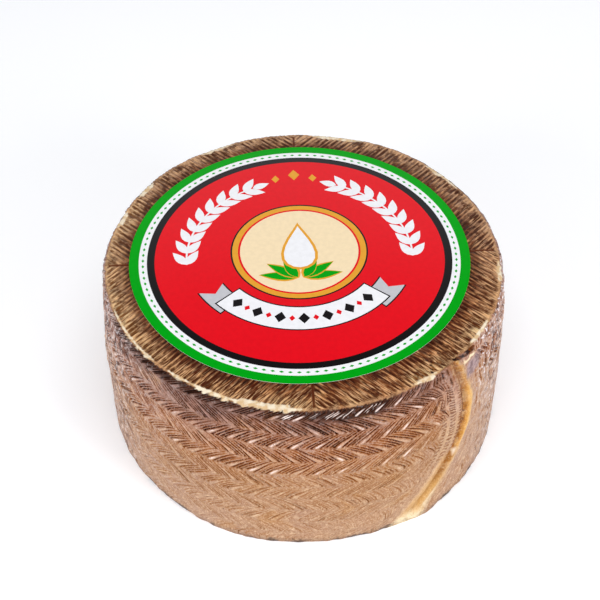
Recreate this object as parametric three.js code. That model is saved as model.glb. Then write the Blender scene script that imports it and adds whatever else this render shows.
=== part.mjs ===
// A whole cured sheep milk cheese: one wheel with a round paper label on its top face.
// A plaited mould band has left rows of slanted strokes round the wall, and the end of the band
// has left an upright seam. The press boards have left four sets of grooves on the top face.
// Millimetres, +Z up. The wheel stands on its flat base, with the origin under its middle.
// An azimuth is in degrees from the front, -Y, towards the right, +X.

import * as THREE from 'three';

// The wheel
const FACE_RADIUS = 95; // of the top face, out to its edge
const BELLY_RADIUS = 98.9; // the widest part, over the lower half of the wall
const HEIGHT = 92; // from the base to the top face
const LEAN_START = 0.45; // the share of the height at which the wall begins to lean in
const LEAN_CURVE = 1.4; // 1 would be a straight lean, and more is a rounder shoulder
const OUT_OF_ROUND = 0.5; // more across one diameter and less across the other
const OUT_OF_ROUND_AT = 35; // azimuth of the longer diameter
const SWELLS = [
  { size: 0.3, timesRound: 5, heightScale: 17, phase: 1.3 },
  { size: 0.2, timesRound: 9, heightScale: 11, phase: 0.2 },
]; // low uneven waves of the wall
const TOP_EDGE = 1.6; // width and height of the rounded top edge
const BASE_EDGE_HEIGHT = 1; // the lower edge is nearly sharp, and uneven
const BASE_EDGE_WIDTH = 0.5;
const BASE_UNEVEN = 0.35; // the base edge wanders in and out by this much
const BASE_WAVES = 13; // so many times round

// The strokes of the plaited band on the wall
const ROW_HEIGHT = 8.8; // of one plait
const TOP_ROW_HEIGHT = 5.7; // the uppermost plait is cut off by the edge
const BUNDLES = 63; // strokes in one row, once round
const STROKE_RUN = 10.6; // how far a stroke goes sideways over its row
const STROKE_BEND = 0.76; // 1 is straight, and less is flatter at the top and steeper below
const STROKE_RELIEF = 0.55; // from the mean wall to a ridge or a groove, near the top
const FAINT_RELIEF = 0.4; // the share of the relief that is left near the base
const FADE_FROM = 0.62; // shares of the height between which the strokes grow faint
const FADE_TO = 0.3;
const ROW_EDGE_RELIEF = 0.6; // share of the relief where two rows meet
const BUNDLE_GROOVE = 0.36; // in the second row a bundle falls from its ridge to here, then rises

// The seam where the band ends is a groove with a smooth ridge on its right. The path is the
// groove's azimuth at heights from the base to the top edge.
const SEAM_PATH = new THREE.SplineCurve([
  new THREE.Vector2(27.6, 0),
  new THREE.Vector2(40.4, 27),
  new THREE.Vector2(46.3, 43),
  new THREE.Vector2(48.3, 62),
  new THREE.Vector2(44.1, 92),
]);
const SEAM_STEPS = 60; // straight pieces that the path is read from
const SEAM_MIDDLE = 46.5; // the azimuth that the columns of facets along the seam are laid from
const SEAM_COLUMNS = [-2.2, -1.1, 0, 1.2, 2.4, 3.6, 5.4, 7.6]; // millimetres from the groove
const SEAM_CLEARANCE = 1; // to the next column of strokes
const SEAM_TO_STROKES = 24; // over this width beside them, columns come to lean with the strokes
const SEAM_FOLLOW_WIDTH = 55; // and over this one after it, they stop following the seam
const SEAM_RISE = 1.5;
const SEAM_RIDGE_AT = 3.6; // from the groove to the middle of the ridge
const SEAM_RIDGE_WIDTH = 8;
const SEAM_GROOVE = 1.2; // its depth
const SEAM_GROOVE_WIDTH = 4.4;
const SEAM_FOOT = 2; // how far the foot of the ridge spreads out
const SEAM_FOOT_WIDTH = 22;
const SEAM_FOOT_HEIGHT = 10;
const SEAM_CALM_LEFT = 10; // from the groove, the wall without strokes
const SEAM_CALM_RIGHT = 12.5;
const SEAM_CALM_SOFTNESS = 0.3; // the share of that width over which the strokes come back
const SEAM_FINE_FROM = 24; // azimuths between which the wall has closer facets
const SEAM_FINE_TO = 66;
const NOTCH_AZIMUTH = 47; // the edge is broken out above the seam
const NOTCH_WIDTH = 9;
const NOTCH_DEPTH = 1.1;

// The grooves of the press boards on the top face, in four quarters with a thin rib between
const RIB_TURN = 2.5; // azimuth of the first rib
const GROOVE_PITCH = 2.4;
const GROOVE_RELIEF = 0.3; // from the mean face to a ridge or a groove
const RIB_DEPTH = 0.6;

// The paper label
const LABEL_RADIUS = 81.3;
const LABEL_THICKNESS = 0.35;
const LABEL_X = -1.45; // it was laid on a little to the left and the back
const LABEL_Y = 1.7;
const LABEL_GAP = 0.3; // the paper lies on the ridges of the face
const LABEL_FACETS = 96;
const SEAT_INSET = 2.5; // the grooves run this far in under the label
const SEAT_POINTS = 72;

const DEGREE = Math.PI / 180;
const ACROSS_RELIEF_COST = 6; // mm of diagonal that one mm of change in radius is worth
const FULL_TURN = 360;
const QUARTERS = 4;
const QUARTER = FULL_TURN / QUARTERS;

const rindMaterial = new THREE.MeshStandardMaterial({
  name: 'rind',
  color: new THREE.Color().setRGB(0.67, 0.5, 0.37, THREE.SRGBColorSpace),
  roughness: 0.5,
  metalness: 0,
});
const labelMaterial = new THREE.MeshStandardMaterial({
  name: 'label_paper',
  color: new THREE.Color().setRGB(0.92, 0.11, 0.13, THREE.SRGBColorSpace),
  roughness: 0.35,
  metalness: 0,
});

// A smooth hump: 1 in the middle, 0 from half a width away.
function hump(distance, width) {
  const share = Math.min(1, Math.abs(distance) / (width / 2));
  return 0.5 + 0.5 * Math.cos(Math.PI * share);
}

// A smooth step from 0 at one value to 1 at another.
function step(value, from, to) {
  const share = Math.min(1, Math.max(0, (value - from) / (to - from)));
  return share * share * (3 - 2 * share);
}

function onPlan(radius, azimuth, z) {
  const angle = azimuth * DEGREE;
  return new THREE.Vector3(radius * Math.sin(angle), -radius * Math.cos(angle), z);
}

function planRadius(point) {
  return Math.hypot(point.x, point.y);
}

function azimuthOf(point) {
  return Math.atan2(point.x, -point.y) / DEGREE;
}

// How far the outline of the wheel lies outside a true circle.
function unevenRadius(azimuth, z) {
  const angle = azimuth * DEGREE;
  const oval = OUT_OF_ROUND * Math.cos(2 * (angle - OUT_OF_ROUND_AT * DEGREE));
  return SWELLS.reduce(
    (sum, { size, timesRound, heightScale, phase }) =>
      sum + size * Math.sin(timesRound * angle + phase) * Math.cos(z / heightScale + phase),
    oval,
  );
}

// The plain wall: upright over the belly, then leaning in to the top edge.
function wallRadius(azimuth, z) {
  const above = Math.max(0, z / HEIGHT - LEAN_START) / (1 - LEAN_START);
  const plain = BELLY_RADIUS - (BELLY_RADIUS - FACE_RADIUS) * above ** LEAN_CURVE;
  return plain + unevenRadius(azimuth, z);
}

// The seam's azimuth at a height.
function seamAzimuth(z) {
  const points = SEAM_PATH.getPoints(SEAM_STEPS);
  const above = Math.max(1, points.findIndex((point) => point.y >= z));
  const [low, high] = [points[above - 1], points[above]];
  return low.x + ((high.x - low.x) * (z - low.y)) / (high.y - low.y);
}

// The distance along the wall from the seam's groove, more than 0 on its right.
function fromSeam(azimuth, z) {
  const away = azimuth - seamAzimuth(z);
  const nearest = away - FULL_TURN * Math.round(away / FULL_TURN);
  return nearest * DEGREE * BELLY_RADIUS;
}

function seamRelief(distance, z) {
  const ridge = hump(distance - SEAM_RIDGE_AT, SEAM_RIDGE_WIDTH);
  const groove = hump(distance, SEAM_GROOVE_WIDTH);
  const foot = hump(distance - SEAM_RIDGE_AT, SEAM_FOOT_WIDTH) * (1 - step(z, 0, SEAM_FOOT_HEIGHT));
  return SEAM_RISE * ridge - SEAM_GROOVE * groove + SEAM_FOOT * foot;
}

// The strokes are gone beside the seam.
function clearOfSeam(azimuth, z) {
  const distance = fromSeam(azimuth, z);
  const share = distance < 0 ? -distance / SEAM_CALM_LEFT : distance / SEAM_CALM_RIGHT;
  return step(share, 1 - SEAM_CALM_SOFTNESS, 1 + SEAM_CALM_SOFTNESS);
}

// How strong the strokes are: faint near the base.
function strokeStrength(azimuth, z) {
  const clear = step(z / HEIGHT, FADE_TO, FADE_FROM);
  return (FAINT_RELIEF + (1 - FAINT_RELIEF) * clear) * clearOfSeam(azimuth, z);
}

// The number of plaits from the top edge down to a height.
function rowsDown(z) {
  return (HEIGHT - TOP_ROW_HEIGHT - z) / ROW_HEIGHT + 1;
}

// Going down, the strokes run left in the first row, right in the next, and so on.
function runsLeft(z) {
  return Math.floor(rowsDown(z)) % 2 === 0;
}

// The height of a bundle's cross-section, from 1 on its ridge to -1 in its groove. The groove is
// near the ridge, on its left in the rows that run left, and on its right in the others.
function bundleProfile(share, z) {
  const along = runsLeft(z) ? 1 - share : share;
  if (along < BUNDLE_GROOVE) return Math.cos((Math.PI * along) / BUNDLE_GROOVE);
  return -Math.cos((Math.PI * (along - BUNDLE_GROOVE)) / (1 - BUNDLE_GROOVE));
}

// The columns of the wall, at shares of the way across each bundle, and those along the seam.
function bundleColumns() {
  const columns = [];
  for (let bundle = 0; bundle < BUNDLES; bundle += 1) {
    const start = -FULL_TURN / 2 + (FULL_TURN * bundle) / BUNDLES;
    const fine = start > SEAM_FINE_FROM && start < SEAM_FINE_TO;
    const beforeGroove = fine ? [0, BUNDLE_GROOVE / 2] : [0];
    for (const share of [...beforeGroove, BUNDLE_GROOVE, (1 + BUNDLE_GROOVE) / 2]) {
      columns.push({ azimuth: start + (FULL_TURN * share) / BUNDLES, share });
    }
  }
  const alongSeam = SEAM_COLUMNS.map((aside) => ({
    azimuth: SEAM_MIDDLE + aside / BELLY_RADIUS / DEGREE,
    share: 0,
  }));
  const between = SEAM_CLEARANCE / BELLY_RADIUS / DEGREE;
  const seamFrom = alongSeam[0].azimuth - between;
  const seamTo = alongSeam[alongSeam.length - 1].azimuth + between;
  const beside = columns.filter(({ azimuth }) => azimuth < seamFrom || azimuth > seamTo);
  return [...beside, ...alongSeam].sort((a, b) => a.azimuth - b.azimuth);
}

// The azimuth of a column at a height. Near the seam the columns run along it, and away from it
// along the strokes.
function columnAzimuth(azimuth, z) {
  const aside = (azimuth - SEAM_MIDDLE) * DEGREE * BELLY_RADIUS;
  const [seamLeft, seamRight] = [SEAM_COLUMNS[0], SEAM_COLUMNS[SEAM_COLUMNS.length - 1]];
  const out = aside < 0 ? seamLeft - aside : aside - seamRight;
  const slant = strokeRun(z) * step(out, 0, SEAM_TO_STROKES);
  const follow = 1 - step(out, SEAM_TO_STROKES, SEAM_TO_STROKES + SEAM_FOLLOW_WIDTH);
  const fullRun = STROKE_RUN / BELLY_RADIUS / DEGREE;
  return azimuth + fullRun * slant + follow * (seamAzimuth(z) - SEAM_MIDDLE);
}

// How far to the right the strokes stand at a height, as a share of STROKE_RUN.
function strokeRun(z) {
  const run = (rowsDown(z) % 1) ** STROKE_BEND;
  return runsLeft(z) ? 1 - run : run;
}

// The heights of the wall's rings from the top edge down: each row's edge and middle. relief is
// the share of the strokes' full relief.
function wallLevels() {
  const levels = [{ z: HEIGHT - TOP_EDGE, relief: ROW_EDGE_RELIEF }];
  let halfRows = 0;
  for (let z = HEIGHT - TOP_ROW_HEIGHT; z > BASE_EDGE_HEIGHT; z -= ROW_HEIGHT / 2) {
    levels.push({ z, relief: halfRows % 2 === 0 ? ROW_EDGE_RELIEF : 1 });
    halfRows += 1;
  }
  levels.push({ z: BASE_EDGE_HEIGHT, relief: ROW_EDGE_RELIEF });
  return levels;
}

function wallRing(level, columns) {
  return columns.map(({ azimuth, share }) => {
    const at = columnAzimuth(azimuth, level.z);
    const distance = fromSeam(at, level.z);
    const strokes = STROKE_RELIEF * level.relief * bundleProfile(share, level.z);
    const notch = level.z > HEIGHT - 2 * TOP_EDGE ? NOTCH_DEPTH * notchShare(at) : 0;
    const radius =
      wallRadius(at, level.z) + strokes * strokeStrength(at, level.z) + seamRelief(distance, level.z) - notch;
    return onPlan(radius, at, level.z);
  });
}

function notchShare(azimuth) {
  return hump((azimuth - NOTCH_AZIMUTH) * DEGREE * FACE_RADIUS, NOTCH_WIDTH);
}

// Where a line on the face leaves the circle round a centre, in plan. The circle's radius may
// change with the azimuth, slowly enough to be read at the line's own end.
function leaveCircle(start, direction, centre, radiusAt) {
  const toCentre = centre.clone().sub(start);
  const along = toCentre.dot(direction);
  const aside = Math.sqrt(toCentre.lengthSq() - along * along);
  const radius = radiusAt(azimuthOf(start.clone().addScaledVector(direction, FACE_RADIUS)));
  const beyond = Math.sqrt(Math.max(0, radius * radius - aside * aside));
  return start.clone().addScaledVector(direction, along + beyond);
}

// A ring of the top face round a centre, with a point on each rib, ridge and groove. The grooves
// of a quarter are parallel to its middle line, so line, which tells quarter and groove, puts the
// points of every such ring in one order.
function faceRing(centre, radiusAt) {
  const ring = [];
  const quarterOrder = FACE_RADIUS * 2;
  const outermost = Math.floor(FACE_RADIUS / GROOVE_PITCH) * 2;
  for (let quarter = 0; quarter < QUARTERS; quarter += 1) {
    const ribAzimuth = RIB_TURN + QUARTER * (quarter - QUARTERS / 2);
    const ribWay = onPlan(1, ribAzimuth, 0);
    const rib = leaveCircle(new THREE.Vector3(), ribWay, centre, radiusAt);
    rib.z = HEIGHT - RIB_DEPTH;
    ring.push({ point: rib, line: (quarter - 0.5) * quarterOrder });
    const grooveWay = onPlan(1, ribAzimuth + QUARTER / 2, 0);
    const across = onPlan(1, ribAzimuth + QUARTER / 2 + QUARTER, 0);
    for (let half = -outermost; half <= outermost; half += 1) {
      const offset = (half * GROOVE_PITCH) / 2;
      const point = leaveCircle(across.clone().multiplyScalar(offset), grooveWay, centre, radiusAt);
      if (!(Math.abs(offset) < point.dot(grooveWay) - GROOVE_PITCH / 2)) continue;
      point.z = HEIGHT + (half % 2 === 0 ? GROOVE_RELIEF : -GROOVE_RELIEF);
      ring.push({ point, line: quarter * quarterOrder + offset });
    }
  }
  return ring;
}

// Azimuths round a ring that keep growing past half a turn.
function growing(azimuths) {
  let last = -Infinity;
  return azimuths.map((azimuth) => {
    last = azimuth < last - FULL_TURN / 2 ? azimuth + FULL_TURN : azimuth;
    return last;
  });
}

// One closed surface, gathered ring by ring from the middle of the top to the middle of the base.
class RingSurface {
  constructor() {
    this.positions = [];
    this.triangles = [];
  }

  // order is what puts two neighbouring rings' points side by side.
  ring(points, order) {
    const first = this.positions.length / 3;
    points.forEach((point) => this.positions.push(point.x, point.y, point.z));
    return points.map((point, i) => ({ vertex: first + i, order: order[i] }));
  }

  // Joins a ring to the next one out or down. period is what order grows by once round.
  join(inner, outer, period) {
    const orderAt = (ring, i) => ring[i % ring.length].order + (i >= ring.length ? period : 0);
    const vertexAt = (ring, i) => ring[i % ring.length].vertex;
    let i = 0;
    let j = 0;
    while (i < inner.length || j < outer.length) {
      const innerNext = orderAt(inner, Math.min(i, inner.length)) + orderAt(inner, i + 1);
      const outerNext = orderAt(outer, Math.min(j, outer.length)) + orderAt(outer, j + 1);
      const stepInner = j >= outer.length || (i < inner.length && innerNext < outerNext);
      if (stepInner) {
        this.triangles.push(vertexAt(inner, i), vertexAt(outer, j), vertexAt(inner, i + 1));
        i += 1;
      } else {
        this.triangles.push(vertexAt(inner, i), vertexAt(outer, j), vertexAt(outer, j + 1));
        j += 1;
      }
    }
  }

  // Joins two rings with the same columns. Each quad is split along the diagonal that is shorter
  // and changes less in radius, so that the split runs along a ridge and not across it.
  joinColumns(upper, lower) {
    const at = ({ vertex }) => new THREE.Vector3().fromArray(this.positions, 3 * vertex);
    const cost = (a, b) => a.distanceTo(b) + ACROSS_RELIEF_COST * Math.abs(planRadius(a) - planRadius(b));
    upper.forEach((above, i) => {
      const next = (i + 1) % upper.length;
      const corners = [above, upper[next], lower[next], lower[i]];
      const [a, b, c, d] = corners.map(at);
      const [va, vb, vc, vd] = corners.map(({ vertex }) => vertex);
      if (cost(a, c) < cost(b, d)) this.triangles.push(va, vd, vc, va, vc, vb);
      else this.triangles.push(va, vd, vb, vb, vd, vc);
    });
  }

  // Closes a ring with a fan. facing is 1 upwards and -1 downwards.
  cap(ring, centre, facing) {
    const middle = this.positions.length / 3;
    this.positions.push(centre.x, centre.y, centre.z);
    ring.forEach(({ vertex }, i) => {
      const next = ring[(i + 1) % ring.length].vertex;
      if (facing > 0) this.triangles.push(middle, vertex, next);
      else this.triangles.push(middle, next, vertex);
    });
  }

  geometry() {
    const geometry = new THREE.BufferGeometry();
    geometry.setAttribute('position', new THREE.Float32BufferAttribute(this.positions, 3));
    geometry.setIndex(this.triangles);
    geometry.computeVertexNormals();
    return geometry;
  }
}

// The flat seat of the label and the grooved border round it. It returns the ring at the edge.
function addTopFace(surface) {
  const labelCentre = new THREE.Vector3(LABEL_X, LABEL_Y, 0);
  const roundLabel = (points) =>
    growing(points.map((point) => azimuthOf(point.clone().sub(labelCentre))));
  const seat = [];
  for (let i = 0; i < SEAT_POINTS; i += 1) {
    const azimuth = RIB_TURN - FULL_TURN / 2 + (FULL_TURN * i) / SEAT_POINTS;
    seat.push(onPlan(LABEL_RADIUS - 2 * SEAT_INSET, azimuth, HEIGHT).add(labelCentre));
  }
  const seatRing = surface.ring(seat, roundLabel(seat));
  surface.cap(seatRing, new THREE.Vector3(LABEL_X, LABEL_Y, HEIGHT), 1);

  const inner = faceRing(labelCentre, () => LABEL_RADIUS - SEAT_INSET);
  const innerPoints = inner.map(({ point }) => point);
  const innerRing = surface.ring(innerPoints, roundLabel(innerPoints));
  surface.join(seatRing, innerRing, FULL_TURN);

  const edgeRadius = (azimuth) =>
    FACE_RADIUS - TOP_EDGE + unevenRadius(azimuth, HEIGHT) - NOTCH_DEPTH * notchShare(azimuth);
  const outer = faceRing(new THREE.Vector3(), edgeRadius);
  const outerPoints = outer.map(({ point }) => point);
  const outerRing = surface.ring(outerPoints, growing(outerPoints.map(azimuthOf)));
  const byLine = (ring, lines) => ring.map(({ vertex }, i) => ({ vertex, order: lines[i].line }));
  surface.join(byLine(innerRing, inner), byLine(outerRing, outer), QUARTERS * 2 * FACE_RADIUS);
  return outerRing;
}

// The wall from the top edge to the base edge, and the flat base.
function addWallAndBase(surface, edgeRing) {
  const columns = bundleColumns();
  const [topLevel, ...lowerLevels] = wallLevels();
  const topPoints = wallRing(topLevel, columns);
  const order = growing(topPoints.map(azimuthOf));
  let above = surface.ring(topPoints, order);
  surface.join(edgeRing, above, FULL_TURN);
  for (const level of lowerLevels) {
    const ring = surface.ring(wallRing(level, columns), order);
    surface.joinColumns(above, ring);
    above = ring;
  }
  const basePoints = columns.map(({ azimuth }) => {
    const at = columnAzimuth(azimuth, BASE_EDGE_HEIGHT);
    const wave = at * DEGREE * BASE_WAVES;
    const uneven = BASE_UNEVEN * Math.sin(wave) * Math.cos(wave / 3 + 1);
    const seam = seamRelief(fromSeam(at, 0), 0);
    return onPlan(wallRadius(at, 0) - BASE_EDGE_WIDTH + uneven + seam, at, 0);
  });
  const baseRing = surface.ring(basePoints, order);
  surface.joinColumns(above, baseRing);
  surface.cap(baseRing, new THREE.Vector3(), -1);
}

function makeCheese() {
  const surface = new RingSurface();
  const edgeRing = addTopFace(surface);
  addWallAndBase(surface, edgeRing);
  const cheese = new THREE.Mesh(surface.geometry(), rindMaterial);
  cheese.name = 'cheese';
  return cheese;
}

function makeLabel() {
  const geometry = new THREE.CylinderGeometry(LABEL_RADIUS, LABEL_RADIUS, LABEL_THICKNESS, LABEL_FACETS);
  geometry.rotateX(Math.PI / 2);
  const label = new THREE.Mesh(geometry, labelMaterial);
  label.name = 'label';
  label.position.set(LABEL_X, LABEL_Y, HEIGHT + LABEL_GAP + LABEL_THICKNESS / 2);
  return label;
}

const wheel = new THREE.Group();
wheel.add(makeCheese(), makeLabel());

// The uneven outline is centred on the origin.
const box = new THREE.Box3().setFromObject(wheel);
const middle = box.getCenter(new THREE.Vector3());
wheel.position.set(-middle.x, -middle.y, -box.min.z);

export default wheel;
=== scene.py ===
import itertools
import math

import bpy
import numpy as np
from mathutils import Matrix, Vector
from mathutils.geometry import delaunay_2d_cdt


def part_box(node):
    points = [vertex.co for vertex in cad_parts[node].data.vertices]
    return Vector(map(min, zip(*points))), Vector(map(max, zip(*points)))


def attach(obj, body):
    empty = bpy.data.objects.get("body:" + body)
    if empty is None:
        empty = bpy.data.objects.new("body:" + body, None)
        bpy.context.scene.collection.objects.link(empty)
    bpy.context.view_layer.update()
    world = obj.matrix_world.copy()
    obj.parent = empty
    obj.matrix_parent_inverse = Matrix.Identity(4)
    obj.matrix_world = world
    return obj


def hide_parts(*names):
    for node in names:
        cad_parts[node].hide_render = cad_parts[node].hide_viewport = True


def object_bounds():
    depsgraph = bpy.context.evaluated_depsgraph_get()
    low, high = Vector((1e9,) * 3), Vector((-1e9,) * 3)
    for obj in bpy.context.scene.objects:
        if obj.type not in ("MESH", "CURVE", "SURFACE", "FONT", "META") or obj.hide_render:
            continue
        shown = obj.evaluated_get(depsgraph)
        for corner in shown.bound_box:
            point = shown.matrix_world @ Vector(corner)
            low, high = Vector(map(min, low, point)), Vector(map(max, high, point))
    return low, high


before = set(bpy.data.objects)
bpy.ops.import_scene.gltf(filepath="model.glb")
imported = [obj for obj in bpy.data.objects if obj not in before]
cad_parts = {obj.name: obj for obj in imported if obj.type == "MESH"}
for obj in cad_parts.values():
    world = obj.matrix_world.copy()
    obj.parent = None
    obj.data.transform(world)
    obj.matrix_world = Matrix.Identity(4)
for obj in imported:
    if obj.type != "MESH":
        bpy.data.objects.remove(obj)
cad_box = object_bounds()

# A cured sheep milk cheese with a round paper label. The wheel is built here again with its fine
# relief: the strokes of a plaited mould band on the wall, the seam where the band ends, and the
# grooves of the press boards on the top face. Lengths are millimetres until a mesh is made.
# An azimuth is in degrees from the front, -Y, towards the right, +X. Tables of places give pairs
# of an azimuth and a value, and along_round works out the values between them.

MM = 0.001
SEED = 11

# The wheel, by the same driving dimensions as the solid
label_low, label_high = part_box("label")
LABEL_X, LABEL_Y = -1.45, 1.7  # from the wheel's axis
LABEL_GAP = 0.3
LABEL_RADIUS = (label_high.x - label_low.x) / 2 / MM
AXIS_X = (label_low.x + label_high.x) / 2 / MM - LABEL_X
AXIS_Y = (label_low.y + label_high.y) / 2 / MM - LABEL_Y
HEIGHT = label_low.z / MM - LABEL_GAP
FACE_RADIUS, BELLY_RADIUS = 95.0, 98.9
LEAN_START, LEAN_CURVE = 0.45, 1.4
OUT_OF_ROUND, OUT_OF_ROUND_AT = 0.5, 35.0
SWELLS = ((0.3, 5, 17.0, 1.3), (0.2, 9, 11.0, 0.2))  # size, times round, height scale, phase
TOP_EDGE, EDGE_TURNS = 1.6, (25, 50, 72)  # its radius, and where rings lie round it, in degrees
BASE_EDGE_HEIGHT, BASE_EDGE_WIDTH = 1.0, 0.5
BASE_WAVES, BASE_UNEVEN = 13, 0.35  # how often and how far the base's edge goes out and in
BASE_RINGS = ((0.45, 0.2), (0.0, 1.0))  # shares of the edge's height and width
BASE_POINTS, BASE_INSET = 180, 9.0  # of the ring round the base's flat middle
FOOT_HEIGHT = 8.0
INSIDE, SQUEEZED = 0.02, 2.5  # how far the mesh stays inside the CAD box, and what gives way

# How far the foot of the wall spreads out, in millimetres
FOOT_SPREAD = (
    (-180, 0), (-36, 0), (-25, 0.9), (-8, 1.2), (2, 0.3), (14, -0.4), (22, 0.1), (29, 1.6),
    (36, 2.3), (42, 0.5), (58, 0.2), (80, 0), (180, 0),
)
# How far the wall's dark top reaches down, in millimetres more than elsewhere
DARK_REACH = (
    (-180, -4), (-120, 2), (-78, -10), (-60, 1), (-48, 7), (-25, 6), (-10, 2), (5, 4), (16, 3),
    (24, 0), (34, -1), (46, -4), (54, -18), (66, -14), (90, -6), (130, 4), (180, -4),
)
# How much darker still the wall is just under the top edge
SOOT = ((-180, 0), (-2, 0), (9, 5), (13, 8), (19, 7), (27, 0), (180, 0))
# How much further down the strokes stay clear, as a share of the height
STROKE_REACH = (
    (-180, 0.05), (-80, 0.2), (-60, 0.3), (-40, 0.28), (-22, 0.16), (-6, 0.06), (8, 0.06),
    (18, 0.12), (36, 0.2), (46, 0), (100, 0.05), (180, 0.05),
)
# How broken up the strokes are in the rows that lean like a backslash
BROKEN = ((-180, 1.5), (-60, 1.2), (-25, 0.9), (-8, 0.6), (40, 0.6), (60, 1.8), (180, 1.5))
# How grey the rind is: partly its own grey, partly a painted sheen of reflected light on the flanks
GREY_AND_SHEEN = (
    (-180, 0.5), (-100, 1.0), (-70, 1.4), (-52, 0.6), (-35, 0.4), (-15, 0.1), (0, 0), (40, 0),
    (54, 0.45), (66, 1.1), (100, 1.1), (140, 0.3), (180, 0.5),
)
# How many tiny pale specks lie on the wall
SPARKLE = (
    (-180, 0.2), (-90, 0.7), (-70, 0.7), (-55, 0.25), (-40, 0.1), (-20, 0.1), (40, 0.1),
    (53, 0.15), (59, 1.0), (80, 1.0), (110, 0.4), (180, 0.2),
)
# What share of the wedges between the strokes shines, with a painted highlight and a glossier
# coat: in the rows that lean like a slash, in the rows between, and in the top row
SHINE_SLASH = (
    (-180, 0.4), (-60, 0.25), (-28, 0.3), (-12, 0.7), (0, 0.95), (28, 0.9), (38, 0.3), (60, 0.5),
    (180, 0.4),
)
SHINE_BACKSLASH = (
    (-180, 0.3), (-60, 0.1), (-12, 0.2), (6, 0.5), (14, 0.85), (40, 0.85), (60, 0.5), (180, 0.3),
)
SHINE_TOP = (
    (-180, 0.5), (-60, 0.3), (-14, 0.3), (-5, 1.2), (22, 1.4), (30, 0.6), (60, 0.6), (180, 0.5),
)
# How pale and dull the top face is, a painted sheen towards the back, and how creamy it is near its edge
BACK_SHEEN = (
    (-180, 0.8), (-110, 0.8), (-70, 0.4), (-30, 0), (60, 0), (100, 0.6), (150, 0.8), (180, 0.8),
)
CREAMY = (
    (-180, 0), (-120, 0.1), (-110, 0.6), (-98, 0.3), (-84, 0.4), (-64, 0.8), (-56, 0.6),
    (-48, 0.5), (-40, 0.2), (-25, 0.35), (-14, 0.3), (-7, 0.7), (-1, 0.5), (5, 0.1), (10, 0.1),
    (13, 0.45), (17, 0.05), (28, 0.05), (32, 0.9), (40, 1.0), (45, 0.2), (52, 0.4), (58, 0.9),
    (66, 0.2), (90, 0), (180, 0),
)
# Where the top edge is worn to pale cheese: azimuth, spread in degrees and width
WORN_EDGE = (
    (-61, 8, 1.0), (-50, 4, 1.3), (-36, 4, 1.3), (-25, 7, 1.7), (-11, 9, 3.0), (34.5, 4.0, 1.9),
    (58, 5, 1.6), (83, 4, 1.8), (-123, 4, 2.2), (-108, 4, 2.0), (130, 7, 1.6), (168, 9, 2.0),
    (-152, 6, 1.6),
)

# The strokes of the plaited band, in rows, each row a ring of bundles of grooves
ROW_HEIGHT, TOP_ROW_HEIGHT = 8.8, 5.7
ROWS, FINE_ROWS, BUNDLES, GROOVES = 20, 5, 63, 4
STROKE_RUN, STROKE_BEND, TOP_RUN = 10.6, 0.76, 1.4
FADE_FROM, FADE_TO, FAINT = 0.72, 0.42, 0.38  # shares of the height, and the strength below them
GROOVE_DEPTH, GROOVE_HALF_WIDTH = 0.9, 1.08
GROOVE_GATHER = (0.09, 0.66)  # shares of the bundle low in a row, where a plain wedge opens
GROOVE_WEIGHTS = np.array([0.7, 0.72, 0.85, 1.35])  # the last, beside the wedge, is the deepest
# What differs from groove to groove: its place across the bundle, its width, its depth, as a
# mean, a spread and limits, and how early it starts and stops, as shares of the row
STRAY, WIDTHS, DEPTHS, DEPTH_LIMITS = 0.014, (0.84, 1.1), (1.0, 0.32), (0.15, 1.6)
STARTS, STOPS, START_LENGTH, STOP_LENGTH = (-0.14, 0.06), (-0.06, 0.08), 0.14, 0.1
WEDGE_RISE, ROW_RISE = 0.4, 0.2
WAVER_ROUND, WAVER_UP = 0.22, 0.5  # degrees and millimetres that strokes and rows stray
WALL_SWELLS = ((0.22, 9, 5, 2), (0.08, 2.4, 8, 1))  # height, size, seed and octaves
# Rings in a row, as shares of it, and columns across a groove and a wedge, where strokes are
# clear and where they are faint
ROW_STEPS = (0.0, 0.09, 0.23, 0.38, 0.53, 0.68, 0.82, 0.94)
FAINT_ROW_STEPS = (0.0, 0.22, 0.46, 0.7, 0.9)
COLUMNS = ((-1, -0.5, 0, 0.5, 1), (0.2, 0.4, 0.6, 0.8))
FAINT_COLUMNS = ((-1, 0, 1), (0.5,))

# The seam where the band ends: azimuth and height of its groove, then millimetres from there
SEAM_PATH = (
    (27.6, 0.0), (31.6, 8.0), (36.0, 17.0), (40.4, 27.0), (44.2, 36.0),
    (46.3, 43.0), (47.9, 51.0), (48.3, 62.0), (46.8, 78.0), (44.1, 92.0),
)
SEAM_MIDDLE = 46.5  # the azimuth that the columns along the seam are laid from
SEAM_RISE, SEAM_LEFT, SEAM_TOP_LEFT, SEAM_TOP_RIGHT, SEAM_RIGHT = 1.1, 0.0, 2.6, 3.2, 8.4
SEAM_GROOVE, SEAM_GROOVE_WIDTH, SEAM_GROOVE_AT = 0.8, 3.6, -0.2
SEAM_COLUMNS_LEFT, SEAM_COLUMNS_RIGHT = 2.4, 8.4  # from the groove, where columns run along it
SEAM_TO_STROKES, SEAM_FOLLOW_WIDTH = 32.0, 52.0  # beside them, where columns come to lean
SEAM_SIDE = 40.0  # what counts as far from the seam
SEAM_EVEN = (10, 18)  # within the first of SEAM_MIDDLE columns are even, past the second they vary
SEAM_BLUR, SEAM_BLUR_AT = 0.4, (31, 39, 44, 48)  # how much fainter strokes are near it, and where
NICK_AZIMUTH, NICK_HEIGHT, NICK_SIZE, NICK_DEPTH = 44.6, 33.6, 4.2, 0.9
CALM_HEIGHTS, CALM_LEFT = (0.0, 60.0, 74.0, 84.0), (13.0, 12.0, 8.0, 2.5)
CALM_RIGHT, CALM_SOFTNESS = 11.0, 0.3
SMOOTH_AZIMUTH, SMOOTH_HEIGHT, SMOOTH_WIDTH, SMOOTH_TALL = 52.1, 81.0, 12.6, 11.0  # a smooth place
STRIP_HEIGHT, STRIP_TALL, STRIP_AT = 87.0, 1.1, (47.6, 48.6, 52.2, 54.0)  # a pale strip above it
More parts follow.
